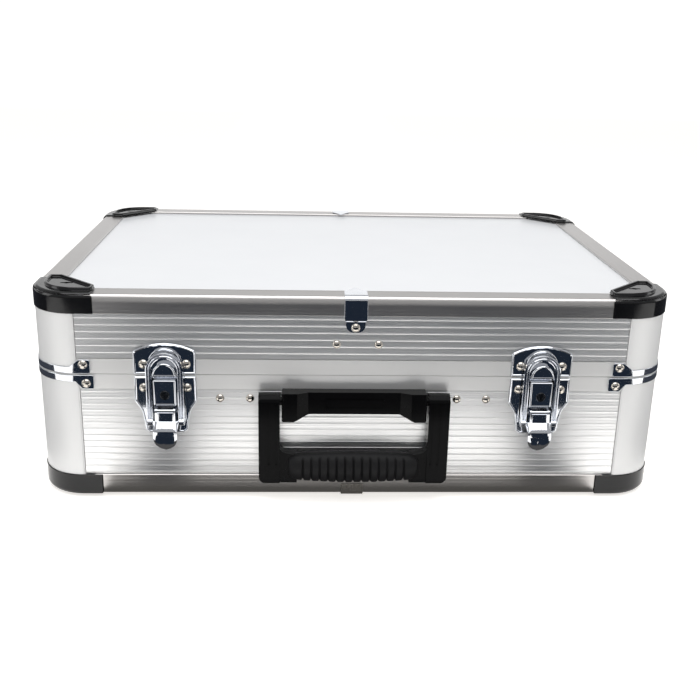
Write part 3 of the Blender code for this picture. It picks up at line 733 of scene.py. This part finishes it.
def add_latch_pair(prefix, start, mesh, finish, body, y=0.0, z=0.0):
    """The left and right copies of a latch piece, each on its own side's body if it moves."""
    for side, sign in (("left", -1), ("right", 1)):
        node = start + side
        copy = at(mesh.copy(), sign * latch_x, y, z)
        add_piece(prefix + node, copy, finish, body.replace("SIDE", side), "chrome_fitting", node)


def arched(half, low, top):
    """Corners of a tongue shape: a half circle over straight sides."""
    crown = [(u, v, 0) for u, v in arc((0, top - half), half, 90, 0)]
    return both_ways(crown + [(half, low, 0)])


DOME_HALF, DOME_HIGH, DOME_FACE = 8.3, 10.1, -171.5
SEAT_HALF, SEAT_TOP, SEAT_FACE = 11.6, 117.0, -167.3
ARCH_RISE = 5.8               # of the catch plate's top over its shoulders
catch_low, catch_high = span("latch_catch_right")
latch_half = catch_high.x - latch_x
arch_r = (latch_half**2 + ARCH_RISE**2) / (2 * ARCH_RISE)
reach = math.degrees(math.asin((latch_half - 1.6) / arch_r))
arch = [(u, v, 0) for u, v in arc((0, catch_high.z - arch_r), arch_r, 90, 90 - reach)]
arch += [(latch_half - 0.5, arch[-1][1] - 0.9, 0.4), (latch_half, arch[-1][1] - 2.0, 0.4)]
catch_plate = pressed_plate(both_ways(arch + [(latch_half - 0.3, catch_low.z, 0.6)]))

foot = catch_low.z + 0.2
seat = boss(arched(SEAT_HALF, foot, SEAT_TOP), latch_back - 0.5, SEAT_FACE, 0.7)
dome = boss(arched(DOME_HALF, foot, catch_low.z + DOME_HIGH), latch_back - 1.0, DOME_FACE, 1.0)
add_latch_pair("chrome_", "latch_catch_", joined(catch_plate, seat, dome), chrome, "lid")

HOUSING_HALF, HOUSING_LOW, HOUSING_HIGH, HOUSING_FACE = 8.1, 75.4, 94.4, -171.0
KEY_R, KEY_Z = 3.3, 83.2
PIVOT = (-170.3, 71.2)        # y and z of the lever's pin
PIN_R, PIN_HALF, EAR_R, EAR_X = 1.2, 8.7, 1.9, (5.7, 7.1)
plate_low, plate_high = span("latch_plate_right")
sides = [(latch_half - 0.3, plate_high.z, 0.6), (latch_half, 76.6, 4.0), (17.4, 69.5, 9.0)]
sides += [(15.0, plate_low.z + 2.0, 1.5), (12.4, plate_low.z, 0.6)]
base_plate = pressed_plate(both_ways(sides))
housing_half = [(HOUSING_HALF, HOUSING_HIGH, 0.8), (HOUSING_HALF, HOUSING_LOW, 0.8)]
housing = boss(both_ways(housing_half), latch_back - 0.5, HOUSING_FACE, 0.9)
key_bore = prism(circle((0, KEY_Z), KEY_R + 0.3), HOUSING_FACE - 2, HOUSING_FACE + 3.3, "Y")
ear_root = latch_back - 0.8
ear = arc(PIVOT, EAR_R, 90, 270) + [(ear_root, PIVOT[1] - EAR_R), (ear_root, PIVOT[1] + EAR_R)]
pin = prism(circle(PIVOT, PIN_R), -PIN_HALF, PIN_HALF, "X", edge=0.3)
latch_plate = joined(cut(joined(base_plate, housing), key_bore), *prism_pair(ear, *EAR_X), pin)
add_latch_pair("chrome_", "latch_plate_", latch_plate, chrome, "base")


# ---------------- Key plugs
# Turned lock cylinders in the latch housings, each with a keyhole: a round hole with a slot
# below it. The key turns them a quarter turn.

lock_metal = plated("darkened_lock_steel", (0.10, 0.105, 0.115), 0.2)
plug = prism(circle((0, 0), KEY_R), 0, 3, "Y", edge=0.25)
keyhole = prism(circle((0, 0.6), 1.5), -1, 2.5, "Y")
key_slot = prism([(-0.7, 0.6), (0.7, 0.6), (0.7, -2.7), (-0.7, -2.7)], -1, 2.5, "Y")
plug = cut(plug, keyhole, key_slot)
add_latch_pair("turned_", "key_plug_", plug, lock_metal, "key_SIDE", HOUSING_FACE, KEY_Z)


# ---------------- Levers
# Pressed levers, chrome plated. The web hangs from the pin, slopes out to a bright facet and
# ends in a curved tongue with a crease down its middle. Its cheeks carry the loop's pins.

LEVER_SHEET = 1.2
LEVER_SIDE = (                # y, z and half width down the web, from the pin
    (-3.4, -0.4, 7.0), (-3.4, -7.0, 7.2), (-6.6, -12.0, 7.8), (-7.2, -13.2, 8.3), (-7.3, -16.0, 8.5),
)
TONGUE_FOOT = (-3.2, -28.8)
TONGUE_CREASE = 0.22
CHEEK = ((-2.8, 2.2), (2.2, 2.2), (3.4, -11.4), (-6.2, -13.5), (-6.0, -12.0), (-2.8, -7.0))
CHEEK_X, LOOP_PIN_X = (7.4, 8.5), (8.0, 13.6)
LOOP_PIN = (1.0, -9.0)


def lever_ring(out, up, half, normal, crease):
    """Section across the lever: rolled edges, and a raised crease in the middle of the tongue."""
    face, back = [], []
    for k in range(25):
        share = k / 12 - 1
        ridge = math.exp(-(share / 0.13) ** 2) + 0.5 * (1 - share**2)
        rise = crease * ridge - 0.4 * abs(share) ** 8
        face.append((half * share, out + normal[0] * rise, up + normal[1] * rise))
        back.append((half * share * 0.97, out - normal[0] * LEVER_SHEET, up - normal[1] * LEVER_SHEET))
    return face + back[::-1]


def lever_web():
    """The web from the pin down to the tongue's tip, as sections square to its path."""
    path = []
    for start, stop in zip(LEVER_SIDE, LEVER_SIDE[1:]):
        path += [(*Vector(start).lerp(Vector(stop), k / 6), 0.0) for k in range(6)]
    top_y, top_z, top_w = LEVER_SIDE[-1]
    for k in range(19):
        share = k / 18
        out = top_y + (TONGUE_FOOT[0] - top_y) * share**1.7
        up = top_z + (TONGUE_FOOT[1] - top_z) * share
        half = top_w * math.sqrt(max(0.0, 1 - share**2.6)) * 0.98 + 0.15
        path.append((out, up, half, TONGUE_CREASE * min(1.0, share * 3)))
    rings = []
    for i, (out, up, half, crease) in enumerate(path):
        before, after = path[max(0, i - 1)], path[min(len(path) - 1, i + 1)]
        run, drop = after[0] - before[0], after[1] - before[1]
        length = math.hypot(run, drop)
        rings.append(lever_ring(out, up, half, (drop / length, -run / length), crease))
    return skin(rings)


loop_pins = prism_pair(circle(LOOP_PIN, PIN_R), *LOOP_PIN_X, edge=0.3)
lever = joined(lever_web(), *prism_pair(CHEEK, *CHEEK_X), *loop_pins)
lever = cut(lever, prism(circle((0, 0), PIN_R + 0.3), -12, 12, "X"))
add_latch_pair("chrome_", "latch_lever_", lever, chrome, "lever_SIDE", *PIVOT)


# ---------------- Draw loops
# Each loop is a pressed channel bent into an inverted U, with a bead along its middle between two
# raised edges. It turns on the lever's pins and closes over the dome of the catch.

LOOP_INNER, LOOP_WIDE, LOOP_EYE = 8.9, 4.4, 2.6
LOOP_PIVOT = (PIVOT[0] + LOOP_PIN[0], PIVOT[1] + LOOP_PIN[1])
LOOP_TOP, LOOP_BACK = 114.6, -167.6
LOOP_CREST = 3.3              # height of the bead along the middle
LOOP_HALF = (                 # across half of the channel, and height over its back
    (0.0, 0.0), (0.0, 2.3), (0.25, 2.9), (0.6, 3.0), (0.9, 2.6), (1.15, 1.9), (1.5, 2.1), (1.8, 2.9),
)
LOOP_SECTION = [*LOOP_HALF, (LOOP_WIDE / 2, LOOP_CREST)]
LOOP_SECTION += [(LOOP_WIDE - u, v) for u, v in reversed(LOOP_HALF)]


def draw_loop():
    """Sections along the U, from one leg round the crown to the other, with an eye at each end."""
    crown = LOOP_TOP - LOOP_INNER - LOOP_WIDE
    levels = (LOOP_PIVOT[1], LOOP_PIVOT[1] + 4)
    stations = [(Vector((LOOP_INNER, level)), Vector((1, 0))) for level in levels]
    for x, z in arc((0, 0), 1, 0, 180):
        stations.append((Vector((x * LOOP_INNER, crown + z * LOOP_INNER)), Vector((x, z))))
    stations += [(Vector((-LOOP_INNER, level)), Vector((-1, 0))) for level in reversed(levels)]
    rings = []
    for spot, out in stations:
        rings.append([(spot.x + out.x * u, LOOP_BACK - v, spot.y + out.y * u) for u, v in LOOP_SECTION])
    eyes = prism_pair(circle(LOOP_PIVOT, LOOP_EYE), LOOP_INNER, LOOP_INNER + LOOP_WIDE, edge=0.5)
    return cut(joined(skin(rings), *eyes), prism(circle(LOOP_PIVOT, PIN_R + 0.3), -15, 15, "X"))


add_latch_pair("chrome_", "latch_loop_", draw_loop(), chrome, "loop_SIDE")


# ---------------- Edge clips
# Folded metal clips at the middle of the front and back edges, which pull the edge profile onto
# the panel. The lid's are chrome with a riveted tab, the base's are satin nickel.

CLIP_HALF, TAB_HALF, CLIP_SHEET = 8.2, 6.9, 0.8
CLIP_GAP, CLIP_STEP = 0.3, 1.1          # over the profile, and back from its leg to the wall
CLIP_POINT = 10.9                       # length of the point on top


def edge_clip(leg, tab, reach, skirt):
    """Clip over the front edge, with z = 0 at the top of the profile: leg, tab and top reach."""
    over, middle = CLIP_GAP + CLIP_SHEET, (EDGE_ROUND, -EDGE_ROUND)
    profile = [(reach, over)] + arc(middle, EDGE_ROUND + over, 90, 180) + [(-over, -leg)]
    if tab:
        inside = CLIP_STEP - CLIP_SHEET
        profile += [(inside, -leg - CLIP_STEP), (inside, -tab), (CLIP_STEP, -tab)]
        profile += [(CLIP_STEP, -skirt - CLIP_GAP - CLIP_STEP), (-CLIP_GAP, -skirt - CLIP_GAP)]
    else:
        profile.append((-CLIP_GAP, -leg))
    profile += arc(middle, EDGE_ROUND + CLIP_GAP, 180, 90) + [(reach, CLIP_GAP)]
    strip = prism([(u - half_y, v) for u, v in profile], -CLIP_HALF, CLIP_HALF, "X", edge=0.25)
    if not tab:
        return strip
    tip = reach - half_y
    point = both_ways([(0, tip, 1.5), (CLIP_HALF, tip - CLIP_POINT, 2.5), (CLIP_HALF, -half_y - 30, 0)])
    shield = [(CLIP_HALF, 20, 0), (CLIP_HALF, -leg + 2, 0.5), (TAB_HALF, -leg - 1.5, 0.5)]
    shield = both_ways(shield + [(TAB_HALF, -tab, 5.5)])
    strip = combine(strip, prism(rounded(point), -40, 20), "INTERSECT")
    return combine(strip, prism(rounded(shield), -half_y - 5, 0, "Y"), "INTERSECT")


nickel = plated("satin_nickel", (0.62, 0.59, 0.55), 0.24, relief=0.01)
lid_clip = edge_clip(leg=17.0, tab=26.0, reach=23.4, skirt=13.8)
base_clip = mirrored(edge_clip(leg=8.4, tab=0, reach=9.0, skirt=0), 1, 1, -1)
top_z, bottom_z = span("top_edge_front")[1].z, span("bottom_edge_front")[0].z
for shell, clip, z, metal in (("lid", lid_clip, top_z, chrome), ("base", base_clip, bottom_z, nickel)):
    for side, turn in (("front", 0), ("back", 180)):
        name = f"{side}_{shell}_clip"
        stands_for = ["top_clip"] if name == "front_lid_clip" else []
        mesh = at(clip.copy(), z=z, turn=turn)
        add_piece(name, mesh, metal, shell, "chrome_fitting", *stands_for)


# ---------------- Rivets
# Nickel-plated round heads that hold the latches, brackets, hinge and the lid's front clip. Six
# more in the front walls, over and beside the handle, hold plates inside.

def rivet_heads():
    """A round head on every point, turned about z as its "facing" attribute says."""
    pattern = Pattern("rivet_heads", Radius="Float", Rise="Float")
    ball = pattern.node("GeometryNodeMeshUVSphere", inputs={"Segments": 24, "Rings": 14, "Radius": 1.0})
    x, y, z = pattern.position()
    radius = pattern.value("Radius")
    height = z.math("MAXIMUM", -0.1) * pattern.value("Rise")
    head = pattern.moved(ball, x * radius, height * -1, y * radius)
    facing, size = (
        pattern.node("GeometryNodeInputNamedAttribute", {"data_type": "FLOAT"}, {"Name": name})
        for name in ("facing", "size")
    )
    turn = pattern.node("ShaderNodeCombineXYZ", inputs={2: facing})
    inputs = {"Points": pattern.value("Points"), "Instance": head, "Rotation": turn, "Scale": size}
    pattern.end(pattern.node("GeometryNodeInstanceOnPoints", inputs=inputs))
    return pattern


RIVET_R, RIVET_RISE = 3.25, 1.8
FULL, SMALL = 1.0, 0.95                 # sizes, as shares of the radius
PROUD = 0.5                             # seat of a rivet on a bracket or a leaf, past the profiles
HINGE_RIVETS = (-135, -80, -27, 27, 80, 135)
# Latch rivets (from the latch's middle, height), those in the wall, bracket rivets (from the
# corner's centre, height), and the height of the hinge's.
RIVET_PLACES = {
    "lid": ((15.1, 104.8), ((-13.2, 119.8), (16.7, 119.8)), (4.8, 104.1), 104.4),
    "base": ((15.3, 87.0), ((-75.0, 78.5), (75.0, 78.5), (-96.5, 78.5), (96.5, 78.5)), (6.5, 90.0), 89.0),
}
CLIP_RIVET = (0, 0.3 - half_y, 132.6, 0, FULL)
wall_y = span("base_panel_front")[0].y


def rivet_points(shell):
    """Points for a shell's rivets, each with the way that it faces and its size."""
    (apart, latch_z), walls, (from_corner, bracket_z), hinge_z = RIVET_PLACES[shell]
    latches = [x + sign * latch_x for x in (-apart, apart) for sign in (-1, 1)]
    places = [(x, latch_back - 0.7, latch_z, 0, FULL) for x in latches]
    places += [(x, wall_y, z, 0, SMALL) for x, z in walls]
    places += [CLIP_RIVET] if shell == "lid" else []
    for turn, along, out in (
        (0, corner_x, half_y), (180, corner_x, half_y), (90, corner_y, half_x), (270, corner_y, half_x)
    ):
        for end in (-1, 1):
            spot = Vector((end * (along - from_corner), -out - PROUD, bracket_z))
            places.append((*Matrix.Rotation(math.radians(turn), 3, "Z") @ spot, turn, FULL))
    places += [(x, half_y + PROUD, hinge_z, 180, SMALL) for x in HINGE_RIVETS]
    mesh = bpy.data.meshes.new("rivet_points")
    mesh.from_pydata([place[:3] for place in places], [], [])
    facing = mesh.attributes.new("facing", "FLOAT", "POINT")
    facing.data.foreach_set("value", [math.radians(place[3]) for place in places])
    size = mesh.attributes.new("size", "FLOAT", "POINT")
    size.data.foreach_set("value", [place[4] for place in places])
    return mesh


rivet_metal = plated("nickel_plated_rivet", (0.62, 0.58, 0.52), 0.12)
rivet_pattern = rivet_heads()
for shell in ("lid", "base"):
    heads = rivet_pattern.make(rivet_points(shell), Radius=RIVET_R, Rise=RIVET_RISE, Finish=rivet_metal)
    add_piece(shell + "_rivets", heads, rivet_metal, shell, "rivet", sharp=60)


# ---------------- Handle mount
# Black moulding screwed to the base between the handle's arms. Its face slopes back from the two
# end blocks to a lower bar with a shallow recess, and its ends carry the handle's pins.

def softened(mesh, width):
    """The mesh with its sharp edges rounded."""
    limit = {"limit_method": "ANGLE", "angle_limit": math.radians(40)}
    return modified(mesh, "BEVEL", width=width, segments=3, **limit)


HANDLE_PIVOT, HANDLE_PIN_R = (-171.1, 79.5), 3.0
MOUNT_BACK = -164.5
face = both_ways([(52, 86.5, 1.0), (52, 65.0, 1.0), (43.5, 65.0, 1.0), (33, 69.9, 8.0)])
plan = both_ways([(33, -172.2, 1.5), (41, -175.8, 1.5), (52, -175.8, 1.5), (52, MOUNT_BACK, 0)])
mount = combine(prism(rounded(face), -190, MOUNT_BACK, "Y"), prism(rounded(plan), 60, 90), "INTERSECT")
recess = prism(rectangle(-21, 21, 74.6, 82.0, 0.5), -180, -171.7, "Y")
raised_bed = prism(rectangle(-20, 20, 75.6, 81.0, 0.5), -172.1, -170, "Y")
mount = joined(cut(softened(mount, 1.0), recess), raised_bed)
mount = joined(mount, *prism_pair(circle(HANDLE_PIVOT, HANDLE_PIN_R), 46, 61, edge=0.4))
semi_gloss = moulded(
    "semi_gloss_black_plastic", (0.0015, 0.0015, 0.0017), 0.16, relief=0.004, Specular_IOR_Level=0.07
)
add_piece("moulded_handle_mount", mount, semi_gloss, "base", "handle_frame", "handle_mount")


# ---------------- Handle frame
# Black moulded bail: two flat arms with a pair of flutes down the front of each, joined by the
# bar that the grip is moulded round. It hangs from the mount's pins.

ARM_X, ARM_R, ARM_LOW = (53.4, 68.5), 6.0, 17.5
ARM_BACK, ARM_FACE = -165.4, -177.1
BAR_FACE, BAR_BACK, BAR_LOW, BAR_HIGH = -176.6, -170.5, 24.8, 34.8
GRIP_HALF, SHOULDER_HIGH = 47.0, 41.0
FLUTE_X, FLUTE_HALF, FLUTE_FOOT, FLUTE_DEEP = (55.9, 61.2), 0.8, 32, 0.9


def handle_frame():
    """The bar with its shoulders and arms, rounded, then fluted and bored for the pins."""
    inner, outer = ARM_X
    root, pivot_z = GRIP_HALF - 6, HANDLE_PIVOT[1]
    arm = arc(HANDLE_PIVOT, ARM_R, 180, 0)
    arm += [(ARM_BACK, pivot_z - ARM_R), (ARM_BACK, ARM_LOW), (ARM_FACE, ARM_LOW)]
    high = SHOULDER_HIGH
    web = [(root, ARM_LOW, 0), (inner + 2, ARM_LOW, 0), (inner + 2, high + 6, 0), (inner, high + 6, 0)]
    web += [(inner - 0.5, high + 0.5, 5.0), (root, high - 2, 0)]
    shoulder = prism(rounded(web), ARM_FACE + 1.2, ARM_BACK - 1.0, "Y")
    bar = [(BAR_FACE, BAR_LOW), (BAR_BACK, BAR_LOW), (BAR_BACK, BAR_HIGH), (BAR_FACE, BAR_HIGH)]
    bail = joined(
        prism(bar, -GRIP_HALF, GRIP_HALF, "X"), *prism_pair(arm, *ARM_X),
        shoulder, mirrored(shoulder, -1, 1, 1),
    )
    front = rounded(both_ways([(outer, 95, 0), (outer, ARM_LOW, 4.5)]))
    bail = softened(combine(bail, prism(front, -200, -150, "Y"), "INTERSECT"), 1.1)
    flutes = []
    for x in FLUTE_X:
        outline = rectangle(x - FLUTE_HALF, x + FLUTE_HALF, FLUTE_FOOT, pivot_z + 0.5, FLUTE_HALF - 0.1)
        flute = prism(outline, ARM_FACE - 1, ARM_FACE + FLUTE_DEEP, "Y")
        flutes += [flute, mirrored(flute, -1, 1, 1)]
    eyes = prism(circle(HANDLE_PIVOT, HANDLE_PIN_R + 0.3), -61.3, 61.3, "X")
    return cut(bail, eyes, *flutes)


add_piece("moulded_handle_frame", handle_frame(), semi_gloss, "handle", "handle_frame", "handle_bail")


# ---------------- Handle grip
# Soft dark grey rubber moulded round the bar, fullest in the middle, with thirteen grooves for
# the fingers that fade out below its top line.

GRIP_Y, GRIP_Z, GRIP_DEEP, GRIP_TALL = -173.9, 29.8, 9.4, 12.2
GRIP_WAIST = 0.80             # size at the ends, as a share of the middle
GRIP_END, GRIP_TIP = 8.0, 0.62          # length of the round end, and its least size
GROOVES, GROOVE_PITCH, GROOVE_DEPTH, GROOVE_HALF = 13, 6.1, 1.4, 0.95
GROOVE_TOP, GROOVE_FADE = 0.82, 0.18    # where the grooves end, as shares of the grip's half height
GRIP_STEPS, GRIP_ROUND = 260, 48


def handle_grip():
    """Oval sections along the grip, drawn in at the ends and at each groove."""
    rings = []
    for i in range(GRIP_STEPS + 1):
        x = GRIP_HALF * (2 * i / GRIP_STEPS - 1)
        into_end = max(0.0, abs(x) - GRIP_HALF + GRIP_END) / GRIP_END
        size = 1 - (1 - GRIP_WAIST) * (x / GRIP_HALF) ** 2
        size *= GRIP_TIP + (1 - GRIP_TIP) * math.sqrt(max(0.0, 1 - into_end**2))
        nearest = round(x / GROOVE_PITCH)
        off = abs(x - nearest * GROOVE_PITCH) / GROOVE_HALF
        dip = GROOVE_DEPTH * math.exp(-off**2 * 2) if abs(nearest) <= GROOVES // 2 else 0.0
        ring = []
        for k in range(GRIP_ROUND):
            angle = 2 * math.pi * k / GRIP_ROUND
            fade = min(1.0, max(0.0, (GROOVE_TOP - math.sin(angle)) / GROOVE_FADE))
            out = math.cos(angle) * (GRIP_DEEP * size - dip * fade)
            up = math.sin(angle) * (GRIP_TALL * size - dip * fade)
            ring.append((x, GRIP_Y + out, GRIP_Z + up))
        rings.append(ring)
    return skin(rings)


rubber = moulded(
    "dark_grey_rubber", (0.006, 0.006, 0.0065), 0.5, grain=0.5, relief=0.01, Specular_IOR_Level=0.14
)
add_piece("moulded_handle_grip", handle_grip(), rubber, "handle", "handle_grip", "handle_grip", sharp=60)


# ---------------- Lining
# Black felt-faced foam board glued inside the base and the lid, with a round fold where the
# walls meet the floor.

LINING, LINING_GAP, FOLD_R = 1.2, 0.3, 3.0
WALL_INSIDE = 11.5            # from the outside of the profiles
RIM_CLEAR = 1.5               # from the parting line to the lining's edge


def lining_tray(floor, rim):
    """Open tray between the floor and the rim's edge, its mouth towards the rim."""
    up = math.copysign(1, rim - floor)

    def level(margin, height):
        x, y, radius = half_x - margin, half_y - margin, corner_r - margin
        return rectangle(-x, x, -y, y, radius), height

    def fold(margin, start, radius):
        return [level(margin + radius * (1 - s), start + up * radius * (1 - c)) for c, s in QUARTER]

    wall = WALL_INSIDE + LINING_GAP
    outer = fold(wall, floor, FOLD_R) + [level(wall, rim)]
    inner = fold(wall + LINING, floor + up * LINING, FOLD_R - LINING) + [level(wall + LINING, rim)]
    return loft(outer + inner[::-1])


felt = Finish("black_felt", (0.018, 0.018, 0.020), 0.95, Sheen_Weight=0.35, Sheen_Roughness=0.5)
fibres = felt.noise(0.6, 4.0)
felt.shade(fibres, (0.040, 0.040, 0.044))
felt.bump(fibres, 0.25)
base_floor = span("bottom_panel")[1].z + LINING_GAP
lid_ceiling = span("top_panel")[0].z - LINING_GAP
parting = (span("lid_rim")[0].z + span("base_post_back_right")[1].z) / 2
for shell, floor, up in (("base", base_floor, 1), ("lid", lid_ceiling, -1)):
    tray = lining_tray(floor, parting - up * RIM_CLEAR)
    add_piece(shell + "_lining", tray, felt.material, shell, "lining")


# ---------------- Studio
# A white floor and backdrop under an even white sky, three soft boxes, and dark cards round the
# case that only its metal and plastic reflect.

def studio_sheet(name, corners, finish):
    """A flat sheet that belongs to the studio."""
    mesh = bpy.data.meshes.new(name)
    mesh.from_pydata(corners, [], [(0, 1, 2, 3)])
    mesh.materials.append(finish)
    sheet = placed(name, mesh)
    return sheet


def level_sheet(name, x0, x1, y0, y1, z, finish):
    return studio_sheet(name, [(x0, y0, z), (x1, y0, z), (x1, y1, z), (x0, y1, z)], finish)


def glowing(name, colour):
    """A material that only glows."""
    finish = bpy.data.materials.new(name)
    finish.use_nodes = True
    tree = Graph(finish.node_tree)
    glow = tree.node("ShaderNodeEmission", inputs={"Color": (*colour, 1), "Strength": 1.0})
    tree.join(glow, finish.node_tree.nodes["Material Output"].inputs["Surface"])
    return finish


floor_finish = Finish(
    "studio_floor", (0.75, 0.75, 0.75), 0.9, Emission_Color=(1.0, 0.97, 0.93, 1), Emission_Strength=0.68
)
level_sheet("floor", -6.0, 6.0, -6.0, 6.0, 0, floor_finish.material)

NAVY = glowing("navy_card", (0.014, 0.021, 0.034))
DUSK = glowing("dusk_card", (0.05, 0.055, 0.07))
SHADE = glowing("shade_card", (0.09, 0.088, 0.085))
CARDS = (                     # from x to x, from y to y, height, card
    ("front", -2.5, 2.5, -2.9, -0.6, 0.004, NAVY),
    ("apron", -0.30, 0.37, -0.6, -0.325, 0.004, NAVY),
    ("left_near", -3.0, -0.27, -0.24, 3.2, 0.003, DUSK),
    ("left_far", -3.0, -0.74, -0.6, -0.24, 0.003, DUSK),
    ("right_near", 0.27, 3.0, -0.24, 3.2, 0.003, DUSK),
    ("right_far", 0.80, 3.0, -0.6, -0.24, 0.003, DUSK),
    # The foot card is painted shadow: a grey sheet at the case's foot, seen only in reflections, that stands
    # in for the case's contact shadow.
    ("foot", -0.185, 0.185, -0.202, -0.142, 0.001, SHADE),
    # The latch and lever cards are painted shade: dark sheets under the latches and levers, seen only in
    # reflections, that put dark reflections in them.
    ("left_latch", -0.167, -0.126, -0.255, -0.19, 0.002, NAVY),
    ("right_latch", 0.137, 0.178, -0.255, -0.19, 0.002, NAVY),
    ("left_lever", -0.170, -0.132, -0.33, -0.25, 0.0025, NAVY),
    ("right_lever", 0.150, 0.193, -0.33, -0.25, 0.0025, NAVY),
)
BACKDROP = [(-15, 4, 0), (15, 4, 0), (15, 4, 1.4), (-15, 4, 1.4)]
cards = [level_sheet(name + "_card", *place) for name, *place in CARDS]
cards.append(studio_sheet("backdrop", BACKDROP, glowing("backdrop", (1.1, 1.1, 1.1))))
for card in cards:
    card.visible_camera = card.name == "backdrop"
    card.visible_diffuse = False
    card.visible_shadow = False

world = bpy.data.worlds.new("studio")
bpy.context.scene.world = world
world.use_nodes = True
sky = world.node_tree.nodes["Background"]
sky.inputs["Color"].default_value = (0.97, 0.98, 1.0, 1)
sky.inputs["Strength"].default_value = 0.42


def soft_box(name, location, aim, size, power):
    lamp = bpy.data.lights.new(name, "AREA")
    lamp.shape = "RECTANGLE"
    lamp.size, lamp.size_y = size
    lamp.energy = power
    item = placed(name, lamp)
    item.location = location
    item.rotation_mode = "QUATERNION"
    item.rotation_quaternion = (Vector(aim) - Vector(location)).to_track_quat("-Z", "Y")


soft_box("overhead", (0, -0.65, 1.3), (0, -0.65, 0), (1.5, 1.8), 20)
soft_box("left", (-1.4, -0.35, 0.55), (0, 0, 0.08), (0.5, 0.9), 3)
soft_box("right", (1.5, -0.1, 0.55), (0, 0, 0.08), (0.5, 0.9), 3)

camera = placed("camera", bpy.data.cameras.new("camera"))
camera.data.sensor_width = 36
camera.data.lens = 49.45
yaw, pitch, roll = (math.radians(angle) for angle in (2.975, 18.561, 1.378))
aim = Matrix.Rotation(-yaw, 3, "Z") @ Matrix.Rotation(math.pi / 2 - pitch, 3, "X")
camera.rotation_euler = (aim @ Matrix.Rotation(roll, 3, "Z")).to_euler()
camera.location = (-0.03737, -0.80517, 0.33378)
bpy.context.scene.camera = camera
bpy.context.scene.view_settings.view_transform = "Standard"
